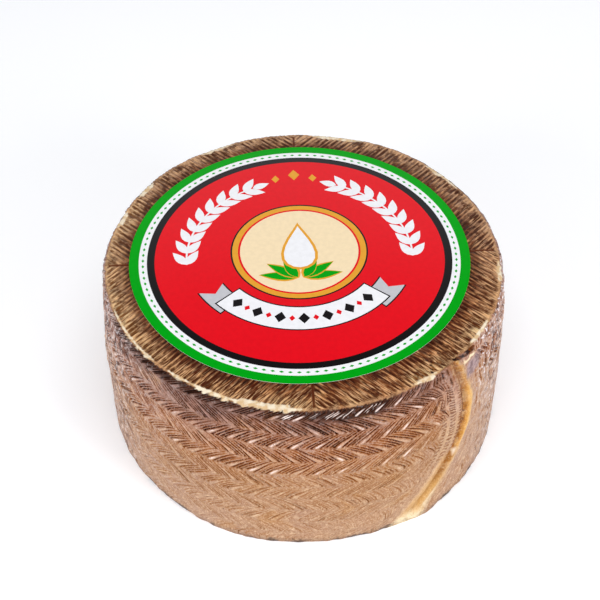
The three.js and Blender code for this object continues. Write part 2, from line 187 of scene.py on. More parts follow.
NOTCH_AZIMUTH, NOTCH_WIDTH, NOTCH_DEPTH = 47.0, 9.0, 1.1
RIBBING_COLUMN, RIBBING_PITCH = 6.3, 1.8  # columns of short dashes on the seam's left

# The grooves of the press boards on the top face
RIB_TURN, FACE_PITCH, FACE_RELIEF = 2.5, 2.4, 0.3
FACE_CUT = 2.2  # how deep a groove is below its ridges, as a multiple of the relief
FACE_RINGS, OUTERMOST_GROOVE = 12, int(FACE_RADIUS / FACE_PITCH)
FACE_STEPS = (-0.5, -0.27, -0.1, 0.1, 0.27)  # where columns lie across a groove, in pitches
RIB_CLEAR = 0.4  # how far they stay from a rib
FACE_GROOVE_HALF, FACE_GROOVE_CURVE = 0.42, 1.6  # a groove's half width in pitches, its section
FACE_STRAY, FACE_DEPTHS = 0.06, (0.5, 1.2)  # how grooves differ in place, in pitches, and depth
FACE_SWELLS = ((0.18, 11, 22, 2), (0.08, 2.5, 23, 1))  # height, size, seed and octaves
QUARTER_ORDER = FACE_RADIUS * 2  # how far apart the quarters are counted round the face
RINGS_INSET, SEAT_INSET, SEAT_POINTS = 3.0, 8.0, 96  # under the label, inwards from its edge
LABEL_CLEAR = 0.02  # between the ridges and the label
LIP_START, LIP_WIDTH = 0.2, 0.8  # the plain lip round the top face, which the grooves don't reach
WORN_FADE, WORN_FLAT, WORN_LOWER = 1.1, 0.6, 0.2  # how worn places end, level out and lie lower
# How far colours reach: the dark one from the label, and the pale and creamy ones from the edge
LABEL_SHADE, RIM_SHADE, CREAM_SHADE = 9, 6.0, (2.0, 10.5)

# The crack beside the top of the seam, in plan, and its size
CRACK_PATH = ((66.5, -66.0), (70.5, -63.6), (76.0, -57.6))
CRACK_WIDTH, CRACK_DEPTH = 2.8, 1.2
# Creases across the top face's grooves: azimuth, the radii of their ends, and their lean
CREASES = ((39.0, 85.0, 93.0, 3.0), (41.5, 84.0, 92.0, -4.0))
CREASE_WIDTH, CREASE_DEPTH = 1.5, 0.8  # the depth as a share of the crack's

# The label's rings, its thickness as paper, and how far its print is turned, anticlockwise from
# above
GREEN_INNER, WHITE_INNER, BLACK_INNER = 76.7, 72.8, 69.2
PAPER, PAPER_LIFT, PAPER_WAVE = 0.16, 0.08, 0.035
PAPER_STEP = 4.0  # between the points of its mesh
LABEL_TURN = 2.5
# The print: diamonds have a width and a height, leaves a length and a width, and angles are
# degrees from the label's right or, for a pair of things, from its top or bottom
BORDER_DIAMONDS, BORDER_DIAMOND = 120, (1.3, 2.3)
SPRIG_RADIUS, STEM_HALF_WIDTH, SPRIG_ENDS, SPRIG_LEAVES, LEAF_PITCH = 54.0, 0.45, (24, 94), 9, 8.2
SPRIG_LEAF, SPRIG_LEAN, TIP_LEAF, TIP_AT = (11.0, 4.6), 34, (9.0, 4.4), 23
TOP_DIAMONDS = ((-9.5, 5.6, 57.0), (0, 8.0, 59.0), (9.5, 5.6, 57.0))  # angle, height and radius
MEDALLION_UP = 3.0
MEDALLION = (("black", 33.0), ("gold", 32.2), ("red", 29.4), ("cream", 28.4))
MEDALLION_FOOT, MEDALLION_LEAVES = (0.8, -18.5), ((8, 18.0), (34, 17.0), (60, 13.0))
DROPS = (("gold", 33.0, 25.0, -13.0), ("white", 29.0, 21.0, -11.6))  # height, width and foot
RIBBON_ENDS = (("black", 41.6, 55.4, 43.3, 61.7), ("grey", 42.3, 54.7, 44, 61))
RIBBON_CUT = ((41.0, 62.2), (48.5, 56.2), (56.0, 62.2))  # radius and angle of its corners
RIBBON = (("black", 37.4, 52.6, 50.8), ("white", 38.1, 51.9, 50))
RIBBON_MARKS, RIBBON_MIDDLE, MARK_PITCH = 6, 45.0, 7.0  # on each side of the middle one

# The camera, from the photograph: its distance from the wheel's axis, how far it looks down,
# its roll, and how far its aim lies from the middle of the base
CAMERA_DISTANCE, CAMERA_RIGHT, CAMERA_UP = 686.15, 1.97, -44.31
CAMERA_PITCH, CAMERA_ROLL = 45.553, -0.6377
LENS, SENSOR = 77.97, 36.0

# The studio, in metres and watts
FLOOR_REACH = 6.0
LAMPS = {  # place, size and power
    "overhead_softbox": ((0.1, -0.35, 1.5), (1.3, 1.0), 14),
    "left_softbox": ((-0.9, -0.75, 0.55), (0.45, 0.45), 6),
    "right_softbox": ((0.9, -0.75, 0.55), (0.45, 0.45), 6),
}
LAMP_AIM = (0, 0, 0.05)


def smooth(value, low, high):
    """0 below low, 1 above high and a smooth step between."""
    share = np.clip((value - low) / (high - low), 0, 1)
    return share * share * (3 - 2 * share)


def plateau(value, rise, full, fall, end):
    """0 below rise and above end, 1 from full to fall, and smooth steps between."""
    return smooth(value, rise, full) * (1 - smooth(value, fall, end))


def hump(distance, width):
    """1 in the middle and 0 from half a width away."""
    share = np.minimum(1, np.abs(distance) / (width / 2))
    return 0.5 + 0.5 * np.cos(np.pi * share)


def hashed(cell, seed):
    """A number from 0 to 1 for each whole-numbered cell."""
    mixed = cell[..., 0] * 73856093 ^ cell[..., 1] * 19349663 ^ cell[..., 2] * 83492791
    mixed = (mixed ^ (seed * 2654435761)) & 0xFFFFFFFF
    for shift in (16, 15):
        mixed = ((mixed >> shift) ^ mixed) * 0x45D9F3B & 0xFFFFFFFF
    return ((mixed >> 16) ^ mixed) / 0xFFFFFFFF


def noise(points, size, seed, octaves=2):
    """Smooth noise from about -1 to 1, with swells of the given size, from a seed of its own."""
    total, weight = np.zeros(points.shape[:-1]), 1.0
    for octave in range(octaves):
        place = points / (size / 2**octave)
        cell = np.floor(place).astype(np.int64)
        part = place - cell
        part = part * part * (3 - 2 * part)
        layer = np.zeros(points.shape[:-1])
        for corner in itertools.product((0, 1), repeat=3):
            corner = np.array(corner)
            near = np.prod(np.where(corner == 1, part, 1 - part), axis=-1)
            layer += near * hashed(cell + corner, SEED + seed + octave)
        total += weight * (2 * layer - 1)
        weight *= 0.5
    return total


def on_plan(radius, azimuth, z):
    """Points at a radius and azimuth round the wheel's axis."""
    angle = np.radians(azimuth)
    return np.stack(np.broadcast_arrays(radius * np.sin(angle), -radius * np.cos(angle), z), axis=-1)


def heading(azimuth):
    """The way that an azimuth points, in plan."""
    return on_plan(1, azimuth, 0)[:2]


def azimuth_of(points):
    return np.degrees(np.arctan2(points[..., 0], -points[..., 1]))


def turn_apart(azimuth, other):
    """The signed angle from one azimuth to another, within half a turn."""
    return (azimuth - other + 180) % 360 - 180


def aside(azimuth, other, radius=BELLY_RADIUS):
    """The signed way round the wheel from one azimuth to another."""
    return np.radians(turn_apart(azimuth, other)) * radius


def along_round(azimuth, places):
    """A value between those given at some azimuths."""
    at, values = zip(*places)
    return np.interp(turn_apart(azimuth, 0), at, values)


def growing(azimuths):
    """Azimuths round a ring that keep growing past half a turn."""
    return np.degrees(np.unwrap(np.radians(azimuths)))


def uneven_radius(azimuth, z):
    angle = np.radians(azimuth)
    total = OUT_OF_ROUND * np.cos(2 * (angle - math.radians(OUT_OF_ROUND_AT)))
    for size, times_round, height_scale, phase in SWELLS:
        total = total + size * np.sin(times_round * angle + phase) * np.cos(z / height_scale + phase)
    return total


def wall_radius(azimuth, z):
    above = np.maximum(0, z / HEIGHT - LEAN_START) / (1 - LEAN_START)
    foot = along_round(azimuth, FOOT_SPREAD) * (1 - smooth(z, 0, FOOT_HEIGHT))
    plain = BELLY_RADIUS - (BELLY_RADIUS - FACE_RADIUS) * above**LEAN_CURVE
    return plain + uneven_radius(azimuth, z) + foot


def notch_depth(azimuth):
    """How far the broken place above the seam goes into the top edge."""
    return NOTCH_DEPTH * hump(aside(azimuth, NOTCH_AZIMUTH, FACE_RADIUS), NOTCH_WIDTH)


def seam_curve(steps=60):
    """The seam's azimuths and heights along a smooth curve through SEAM_PATH."""
    path = np.array(SEAM_PATH)
    ends = np.vstack([2 * path[0] - path[1], path, 2 * path[-1] - path[-2]])
    found = []
    for share in np.linspace(0, len(path) - 1, steps, endpoint=False):
        i = int(share)
        t = share - i
        a, b, c, d = ends[i : i + 4]
        bend = 2 * a - 5 * b + 4 * c - d + t * (3 * (b - c) + d - a)
        found.append(b + 0.5 * t * (c - a + t * bend))
    return np.array(found + [path[-1]])


SEAM = seam_curve()


def seam_azimuth(z):
    return np.interp(z, SEAM[:, 1], SEAM[:, 0])


def clear_of_seam(azimuth, z):
    """0 at the seam and 1 on the rest of the wall, where the strokes run."""
    distance = aside(azimuth, seam_azimuth(z))
    left = np.interp(z, CALM_HEIGHTS, CALM_LEFT)
    share = np.where(distance < 0, -distance / left, distance / CALM_RIGHT)
    return smooth(share, 1 - CALM_SOFTNESS, 1 + CALM_SOFTNESS)


def columns_at(plain, run, z):
    """The azimuth of the wall's columns at a height. Near the seam they run along it, and away
    from it along the strokes, a share of whose run is given."""
    from_middle = aside(plain, SEAM_MIDDLE)
    left, right = -from_middle - SEAM_COLUMNS_LEFT, from_middle - SEAM_COLUMNS_RIGHT
    out = np.where(from_middle < 0, left, right)
    slant = run * smooth(out, 0, SEAM_TO_STROKES)
    follow = 1 - smooth(out, SEAM_TO_STROKES, SEAM_TO_STROKES + SEAM_FOLLOW_WIDTH)
    seam = seam_azimuth(z) - SEAM_MIDDLE
    return plain + np.degrees(STROKE_RUN / BELLY_RADIUS) * slant + follow * seam


def wall_levels(rows, steps):
    """(row, share of the row's height, height) of each ring of the wall, from the top down."""
    levels = []
    for row, share in itertools.product(rows, steps):
        z = HEIGHT - TOP_ROW_HEIGHT - (row + share - 1) * ROW_HEIGHT
        if BASE_EDGE_HEIGHT < z < HEIGHT - TOP_EDGE:
            levels.append((row, share, z))
    return levels


def bundle_columns(offsets, wedge_shares):
    """(groove, offset in half widths) of each column across one bundle; the last ones lie in
    the plain wedge, where offset is the share of the way across it."""
    return [*itertools.product(range(GROOVES), offsets), *((GROOVES, share) for share in wedge_shares)]


def by_lean(row, slash, backslash):
    """One of two values, by whether the row's strokes lean like a slash or like a backslash."""
    return np.where(row % 2 == 0, slash, backslash)


def stroke_places(row, share, groove, jitter):
    """Where a groove's middle lies across its bundle. Low in a row the grooves gather to one
    side, to the left where strokes lean like a slash and to the right in the rows between."""
    last = GROOVES - 1
    order = np.minimum(groove, last) / last
    even = (np.minimum(groove, last) + 0.5) / GROOVES
    near, far = GROOVE_GATHER
    gathered = by_lean(row, near + (far - near) * order, 1 - far + (far - near) * order)
    gather = plateau(share, 0.05, 0.8, 0.93, 1.0)
    return even + (gathered - even) * gather + jitter * np.sin(np.pi * share) ** 0.5, gather


def build_wall(levels, kinds):
    """Radius, azimuth, height and masks of the wall, as arrays of levels by columns."""
    row, share, z = (np.array(part)[:, None] for part in zip(*levels))
    groove, offset = (np.array(part * BUNDLES)[None, :] for part in zip(*kinds))
    bundle = np.repeat(np.arange(BUNDLES), len(kinds))[None, :]
    last = GROOVES - 1
    cut_groove = np.minimum(groove, last)

    # Each groove has its own jitter, width, depth and length, and each bundle its own tone
    rng = np.random.default_rng(SEED)
    each = (ROWS, BUNDLES, GROOVES + 1)
    jitter = rng.normal(0, STRAY, each)
    widths = rng.uniform(*WIDTHS, each)
    depth = np.clip(rng.normal(*DEPTHS, each), *DEPTH_LIMITS)
    starts = rng.uniform(*STARTS, each)
    stops = 1 - rng.uniform(*STOPS, each)
    tones = rng.uniform(0, 1, each[:2])
    shines = rng.uniform(0, 1, each[:2])

    # Where each column lies across its bundle, evenly beside the seam
    first_centre, gather = stroke_places(row, share, 0, jitter[row, bundle, 0])
    last_centre, _ = stroke_places(row, share, last, jitter[row, bundle, last])
    centre, _ = stroke_places(row, share, groove, jitter[row, bundle, groove])
    bundle_width = 2 * np.pi * BELLY_RADIUS / BUNDLES
    half_width = GROOVE_HALF_WIDTH * (1 - 0.22 * gather) / bundle_width
    wedge_start = last_centre + half_width * widths[row, bundle, last]
    wedge_end = 1 + first_centre - half_width * widths[row, bundle, 0]
    in_groove = centre + offset * half_width * widths[row, bundle, cut_groove]
    in_wedge = wedge_start + offset * (wedge_end - wedge_start)
    across = np.where(groove < GROOVES, in_groove, in_wedge)
    even_across = (np.tile(np.arange(len(kinds)), BUNDLES)[None, :] + 0.5) / len(kinds)
    from_middle = aside(-180 + 360 * (bundle + even_across) / BUNDLES, SEAM_MIDDLE)
    across = across + (even_across - across) * (1 - smooth(np.abs(from_middle), *SEAM_EVEN))

    # The columns slant along the strokes, and stray a little
    run = share**STROKE_BEND
    run = by_lean(row, 1 - run, run)
    run = np.where(row == 0, TOP_RUN * run, run)
    plain = -180 + 360 * (bundle + across) / BUNDLES
    azimuth = columns_at(plain, run, z)
    spread = (columns_at(plain + 0.1, run, z) - columns_at(plain - 0.1, run, z)) / 0.2
    z = np.broadcast_to(z, azimuth.shape)
    even = on_plan(wall_radius(azimuth, z), azimuth, z)
    azimuth = azimuth + WAVER_ROUND * noise(even, 9, 61, 1)
    inside_wall = plateau(z, 4, 12, HEIGHT - 9, HEIGHT - 3)
    z = z + WAVER_UP * noise(even, 14, 62) * inside_wall
    flat = on_plan(wall_radius(azimuth, z), azimuth, z)

    # How clear the print is: less towards the foot, in patches, and beside the seam
    reach = z / HEIGHT + along_round(azimuth, STROKE_REACH)
    strength = FAINT + (1 - FAINT) * smooth(reach, FADE_TO, FADE_FROM)
    patches = noise(flat, 24, 3) + 0.6 * noise(flat, 7, 4, 1)
    lower = 1 - smooth(reach, 0.45, 0.75)
    strength = strength * np.clip(1 + (0.4 + 0.9 * lower) * patches, 0.1, 1.3)
    strength = strength * clear_of_seam(azimuth, z) * smooth(spread, 0.2, 0.6)
    strength = strength * (1 - SEAM_BLUR * plateau(azimuth, *SEAM_BLUR_AT))

    # The grooves, deepest beside the wedge, whose lower part rises and may shine, by a painted highlight
    # and a glossier coat
    weights = by_lean(row, GROOVE_WEIGHTS[cut_groove], GROOVE_WEIGHTS[::-1][cut_groove])
    weights = np.where(groove < GROOVES, weights, 0)
    begins, ends = starts[row, bundle, groove], stops[row, bundle, groove]
    length = plateau(share, begins, begins + START_LENGTH, ends - STOP_LENGTH, ends)
    length = length * (0.45 + 0.55 * smooth(share, 0.1, 0.7))
    profile = np.where(groove < GROOVES, (1 - np.minimum(1, offset**2)) ** 1.1, 0)
    broken = noise(flat, 3.6, 15) * along_round(azimuth, BROKEN) * (row % 2)
    groove_mask = profile * length * depth[row, bundle, groove] * weights * np.clip(1 + broken, 0, 1.6)
    wedge = np.where(groove == GROOVES, hump(offset - 0.5, 1.5), 0) * gather * length
    shine = by_lean(row, along_round(azimuth, SHINE_SLASH), along_round(azimuth, SHINE_BACKSLASH))
    near_groove = by_lean(row, offset, 1 - offset)
    glint = np.where(groove == GROOVES, hump(near_groove - 0.3, 0.7), 0)
    glint = glint * plateau(share, 0.4, 0.66, 0.8, 0.95)
    glint = glint * smooth(shine - shines[row, bundle], -0.1, 0.25)

    # In the top row the lands between the grooves get painted highlights too, unevenly
    lands = (row == 0) & ((offset == 1) & (groove < last) | (offset == -1) & (groove > 0))
    lands = lands * plateau(share, 0.38, 0.56, 0.8, 0.96)
    pair = np.where(offset > 0, groove + 1, groove)
    uneven = 0.5 + 0.5 * noise(flat, 2.6, 16)
    lands = lands * smooth(depth[row, bundle, np.clip(pair, 0, GROOVES)] * uneven, 0.35, 0.95)
    glint = np.maximum(glint * (0.5 + 0.5 * widths[row, bundle, 0]), lands)
    glint = glint * np.where(row == 0, along_round(azimuth, SHINE_TOP), 1)
    rise = WEDGE_RISE * wedge + ROW_RISE * np.sin(np.pi * share) - groove_mask * GROOVE_DEPTH
    radius = wall_radius(azimuth, z) + rise * strength

    # The seam, the nick in it, the smooth place and the pale strip beside its top, and the notch
    distance = aside(azimuth, seam_azimuth(z))
    ridge_end = distance + 1.8 * smooth(z, 66, 80)
    ridge = smooth(distance, SEAM_LEFT, SEAM_TOP_LEFT) * (1 - smooth(ridge_end, SEAM_TOP_RIGHT, SEAM_RIGHT))
    radius = radius + SEAM_RISE * ridge - SEAM_GROOVE * hump(distance - SEAM_GROOVE_AT, SEAM_GROOVE_WIDTH)
    nick = hump(np.hypot(aside(azimuth, NICK_AZIMUTH), z - NICK_HEIGHT), NICK_SIZE)
    radius = radius - NICK_DEPTH * nick
    from_patch = np.hypot(aside(azimuth, SMOOTH_AZIMUTH) / SMOOTH_WIDTH, (z - SMOOTH_HEIGHT) / SMOOTH_TALL)
    plain_patch = 1 - smooth(from_patch + 0.12 * noise(flat, 4.5, 9), 0.34, 0.62)
    from_strip = (z - STRIP_HEIGHT + 0.5 * noise(flat, 2.2, 10)) / STRIP_TALL
    pale_strip = (1 - smooth(np.abs(from_strip), 0.5, 1.0)) * plateau(azimuth, *STRIP_AT)
    radius = radius - notch_depth(azimuth) * smooth(z, HEIGHT - 7, HEIGHT - 2)
    for height, *kind in WALL_SWELLS:
        radius = radius + height * noise(flat, *kind)
    soot = along_round(azimuth, SOOT) * smooth(z, HEIGHT - 9, HEIGHT - 5)
    masks = {
        "groove": np.clip(groove_mask * strength, 0, 1),
        "wedge": np.clip(wedge * strength, 0, 1),
        "glint": np.clip(glint * smooth(strength, 0.45, 0.85), 0, 1),
        "strength": np.clip(strength, 0, 1),
        "tone": np.broadcast_to(tones[row, bundle], azimuth.shape),
        "seam_side": np.clip(distance, -SEAM_SIDE, SEAM_SIDE),
        "nick": nick,
        "age": (z + along_round(azimuth, DARK_REACH) + soot) / HEIGHT,
        "grey": along_round(azimuth, GREY_AND_SHEEN),
        "patch": plain_patch,
        "strip": pale_strip,
        "sparkle": along_round(azimuth, SPARKLE) * smooth(z, 20, 78) * (1 - plain_patch),
        "weave": np.stack([np.radians(plain) * BELLY_RADIUS, z, row * 17.0 + 0 * z], axis=-1),
    }
    return radius, azimuth, z, masks


def worn_width(azimuth):
    """How wide the top edge is worn to pale cheese."""
    width = np.zeros_like(azimuth)
    for middle, spread, most in WORN_EDGE:
        share = np.abs(turn_apart(azimuth, middle)) / spread
        width = np.maximum(width, most * (1 - smooth(share, 0.5, 1.3)))
    return width


class RingMesh:
    """One closed surface, gathered ring by ring, with a value of each mask at each vertex."""

    MASKS = (
        "groove", "wedge", "glint", "strength", "tone", "seam_side", "nick", "face", "worn",
        "near_label", "rim", "age", "grey", "lip", "crack", "patch", "strip", "creamy", "dusty",
        "sparkle",
    )

    def __init__(self):
        self.points = []
        self.masks = {name: [] for name in self.MASKS}
        self.weaves = []
        self.faces = []
        self.count = 0

    def add(self, points, **masks):
        """Adds vertices and returns their numbers, in the points' own shape."""
        shape = points.shape[:-1]
        size = int(np.prod(shape))
        self.points.append(points.reshape(-1, 3))
        for name in self.MASKS:
            value = np.broadcast_to(masks.get(name, 0.0), shape)
            self.masks[name].append(np.asarray(value, float).reshape(-1))
        weave = np.broadcast_to(masks.get("weave", points), (*shape, 3))
        self.weaves.append(weave.reshape(-1, 3))
        first = self.count
        self.count += size
        return np.arange(first, first + size).reshape(shape)

    def join(self, inner, inner_order, outer, outer_order, period=360):
        """Joins a ring to the next one out or down, by the order of their points."""
        m, n = len(inner), len(outer)
        inner_at = np.append(inner_order, inner_order[0] + period)
        outer_at = np.append(outer_order, outer_order[0] + period)
        i = j = 0
        while i < m or j < n:
            inner_next = inner_at[i] + inner_at[i + 1] if i < m else np.inf
            outer_next = outer_at[j] + outer_at[j + 1] if j < n else np.inf
            a, b = inner[i % m], outer[j % n]
            if inner_next < outer_next:
                self.faces.append((a, b, inner[(i + 1) % m]))
                i += 1
            else:
                self.faces.append((a, b, outer[(j + 1) % n]))
                j += 1

    def join_grid(self, grid):
        """Joins rings with the same columns, each quad split along its shorter diagonal."""
        points = np.concatenate(self.points)
        a, b = grid[:-1], np.roll(grid, -1, axis=1)[:-1]
        d, c = grid[1:], np.roll(grid, -1, axis=1)[1:]
        first = np.linalg.norm(points[a] - points[c], axis=-1)
        second = np.linalg.norm(points[b] - points[d], axis=-1)
        short = (first < second)[..., None]
        one = np.where(short, np.stack([a, d, c], -1), np.stack([a, d, b], -1))
        two = np.where(short, np.stack([a, c, b], -1), np.stack([b, d, c], -1))
        for triangles in (one, two):
            self.faces.extend(map(tuple, triangles.reshape(-1, 3).tolist()))

    def cap(self, ring, centre, facing, **masks):
        """Closes a ring with a fan that faces up, 1, or down, -1."""
        middle = int(self.add(np.array([centre], float), **masks)[0])
        for vertex, after in zip(ring.tolist(), np.roll(ring, -1).tolist()):
            self.faces.append((middle, vertex, after) if facing > 0 else (middle, after, vertex))

    def make(self, name, material):
        points = np.concatenate(self.points) + (AXIS_X, AXIS_Y, 0)
        made = new_object(name, inside_box(points * MM, cad_box).tolist(), self.faces, [material])
        mesh = made.data
        mesh.polygons.foreach_set("use_smooth", [True] * len(mesh.polygons))
        for mask, values in self.masks.items():
            layer = mesh.attributes.new(mask, "FLOAT", "POINT")
            layer.data.foreach_set("value", np.concatenate(values).astype(np.float32))
        layer = mesh.attributes.new("weave", "FLOAT_VECTOR", "POINT")
        weaves = np.concatenate(self.weaves) * MM
        layer.data.foreach_set("vector", weaves.astype(np.float32).reshape(-1))
        return made


def in_scene(name, data):
    """A new object in the scene, made of a mesh, a lamp or a camera."""
    made = bpy.data.objects.new(name, data)
    bpy.context.scene.collection.objects.link(made)
    return made


def new_object(name, points, faces, materials):
    mesh = bpy.data.meshes.new(name)
    mesh.from_pydata(points, [], faces)
    mesh.update()
    for material in materials:
        mesh.materials.append(material)
    return in_scene(name, mesh)


def inside_box(points, box):
    """Draws in what lies near the box's sides, so that nothing stands out of them. Heights stay
    as they are, and so does the base on the floor."""
    for axis, (sign, corner) in itertools.product(range(2), ((-1, box[0]), (1, box[1]))):
        limit = sign * corner[axis] - INSIDE * MM
        start = limit - SQUEEZED * MM
        out = sign * points[:, axis]
        most = out.max()
        if most > limit:
            beyond = out > start
            squeezed = start + (out[beyond] - start) * (limit - start) / (most - start)
            points[beyond, axis] = sign * squeezed
    return points


def from_path(plan, path):
    """The distance in plan from points to a line of straight pieces."""
    nearest = np.full(plan.shape[:-1], np.inf)
    for start, end in zip(path, path[1:]):
        start, end = np.array(start), np.array(end)
        way = end - start
        share = np.clip(((plan - start) @ way) / (way @ way), 0, 1)
        nearest = np.minimum(nearest, np.linalg.norm(plan - start - share[..., None] * way, axis=-1))
    return nearest


def crack_at(plan):
    """1 in the middle of the crack beside the seam, less in a crease, and 0 beside them."""
    found = hump(from_path(plan, CRACK_PATH), CRACK_WIDTH)
    for azimuth, inner, outer, turn in CREASES:
        ends = heading(azimuth) * inner, heading(azimuth + turn) * outer
        found = np.maximum(found, CREASE_DEPTH * hump(from_path(plan, ends), CREASE_WIDTH))
    return found


def face_edge(azimuth):
    """The radius at which the flat top face ends."""
    return FACE_RADIUS - TOP_EDGE + uneven_radius(azimuth, HEIGHT) - notch_depth(azimuth)


def leave_circle(start, way, centre, radius):
    """Where a line on the face leaves the circle round a centre."""
    to_centre = centre - start
    along = (to_centre * way).sum(-1)
    past = (to_centre**2).sum(-1) - along**2
    return start + way * (along + np.sqrt(np.maximum(0, radius**2 - past)))


def face_ring(share, shift):
    """A ring of the top face, a share of the way from the label to the edge: its points in plan,
    their order along the ring, how far each is from the middle of its groove, in pitches, and
    whether it lies on a rib between two quarters."""
    centre = np.array([LABEL_X, LABEL_Y]) * (1 - share)
    inner_radius = LABEL_RADIUS - RINGS_INSET

    def outwards(start, way, azimuth):
        radius = inner_radius + (face_edge(azimuth) - inner_radius) * share
        return leave_circle(start, way, centre, radius)

    found = []
    for quarter in range(4):
        rib_azimuth = RIB_TURN + 90 * (quarter - 2)
        point = outwards(np.zeros(2), heading(rib_azimuth), rib_azimuth)
        found.append((point, (quarter - 0.5) * QUARTER_ORDER, 0.0, True))
        way, across = heading(rib_azimuth + 45), heading(rib_azimuth + 135)
        for groove in range(-OUTERMOST_GROOVE, OUTERMOST_GROOVE + 1):
            for step in FACE_STEPS:
                offset = (groove + step + shift[quarter, groove]) * FACE_PITCH
                turn = math.degrees(math.asin(max(-1, min(1, offset / FACE_RADIUS))))
                point = outwards(across * offset, way, rib_azimuth + 45 + turn)
                if abs(offset) < point @ way - RIB_CLEAR:
                    found.append((point, quarter * QUARTER_ORDER + offset, step, False))
    return map(np.array, zip(*found))


def add_face(surface):
    """The grooved top face out to its edge. Returns the edge ring and its azimuths."""
    rng = np.random.default_rng(SEED + 1)
    each = (4, 2 * OUTERMOST_GROOVE + 1)
    shift = rng.normal(0, FACE_STRAY, each)
    own = rng.uniform(*FACE_DEPTHS, each)
    label_place = (LABEL_X, LABEL_Y, 0)
    seat_azimuths = np.arange(SEAT_POINTS) * 360 / SEAT_POINTS + RIB_TURN - 180
    seat = on_plan(LABEL_RADIUS - SEAT_INSET, seat_azimuths, HEIGHT) + label_place
    seat_ring = surface.add(seat, face=1.0, near_label=1.0)
    surface.cap(seat_ring, (LABEL_X, LABEL_Y, HEIGHT), 1, face=1.0, near_label=1.0)

    previous = None
    for level in range(FACE_RINGS):
        plan, order, phase, rib = face_ring(level / (FACE_RINGS - 1), shift)
        points = np.column_stack([plan, np.full(len(plan), HEIGHT)])
        azimuth = azimuth_of(points)
        quarter = np.round(order / QUARTER_ORDER).astype(int) % 4
        offset = order - np.round(order / QUARTER_ORDER) * QUARTER_ORDER
        to_edge = FACE_RADIUS - TOP_EDGE - np.linalg.norm(plan, axis=1)
        to_edge = to_edge + uneven_radius(azimuth, HEIGHT)
        from_label = np.linalg.norm(plan - label_place[:2], axis=1) - LABEL_RADIUS

        # The grooves and ribs, which end at a plain lip
        lip = 1 - smooth(to_edge + 0.9 * noise(points, 3.0, 26), LIP_START, LIP_WIDTH)
        strength = own[quarter, np.round(offset / FACE_PITCH).astype(int)]
        strength = strength * np.clip(1 + 0.55 * noise(points, 7, 21), 0.15, 1.5)
        strength = np.where(rib, 1.0, strength * (1 - 0.75 * lip))
        section = 1 - np.minimum(1, np.abs(phase / FACE_GROOVE_HALF)) ** FACE_GROOVE_CURVE
        cut = np.where(rib, 1.0, section)
        z = HEIGHT + FACE_RELIEF - (FACE_RELIEF * FACE_CUT) * cut * strength
        for height, *kind in FACE_SWELLS:
            z = z + height * noise(points, *kind)

        # The crack, and the worn places, which are lower and smoother
        crack = crack_at(plan)
        z = z - CRACK_DEPTH * crack
        width = worn_width(azimuth)
        worn = 1 - smooth(to_edge + 0.7 * noise(points, 3.6, 24), width - WORN_FADE, width)
        worn = worn * (width > 0.2)
        z = z * (1 - WORN_FLAT * worn) + (HEIGHT - WORN_LOWER) * WORN_FLAT * worn

        # Nothing reaches up into the label
        limit = HEIGHT + LABEL_GAP - LABEL_CLEAR + 0.3 * smooth(from_label, 0, 0.5)
        points[:, 2] = np.minimum(z, limit)
        groove_azimuth = np.radians(RIB_TURN + 90 * (quarter - 2) + 45)
        along_groove = plan[:, 0] * np.sin(groove_azimuth) - plan[:, 1] * np.cos(groove_azimuth)
        ring = surface.add(
            points,
            weave=np.column_stack([offset, along_groove, 40.0 * quarter]),
            face=1.0,
            groove=np.clip(cut * strength, 0, 1) * np.where(rib, 0.3, 1),
            worn=worn,
            near_label=1 - smooth(from_label, 0, LABEL_SHADE),
            rim=1 - smooth(to_edge, 0.0, RIM_SHADE),
            lip=lip,
            crack=crack,
            creamy=along_round(azimuth, CREAMY) * (1 - smooth(to_edge, *CREAM_SHADE)),
            dusty=along_round(azimuth, BACK_SHEEN),
            seam_side=SEAM_SIDE,
        )
        if previous is None:
            seat_around = growing(azimuth_of(seat - label_place))
            surface.join(seat_ring, seat_around, ring, growing(azimuth_of(points - label_place)))
        else:
            surface.join(*previous, ring, order, 4 * QUARTER_ORDER)
        previous = (ring, order)
    return ring, growing(azimuth)


def worn_on_wall(azimuth, points):
    """How far the wall is worn to pale cheese just below the top edge; below 0 further down."""
    below = HEIGHT - points[..., 2] + 0.6 * noise(points, 2.2, 31)
    width = worn_width(azimuth) + 0.7 * noise(points, 4.5, 32)
    return np.minimum(np.clip(0.5 + (0.6 - below) / 1.2, -1, 1), smooth(width, 0.7, 1.8))


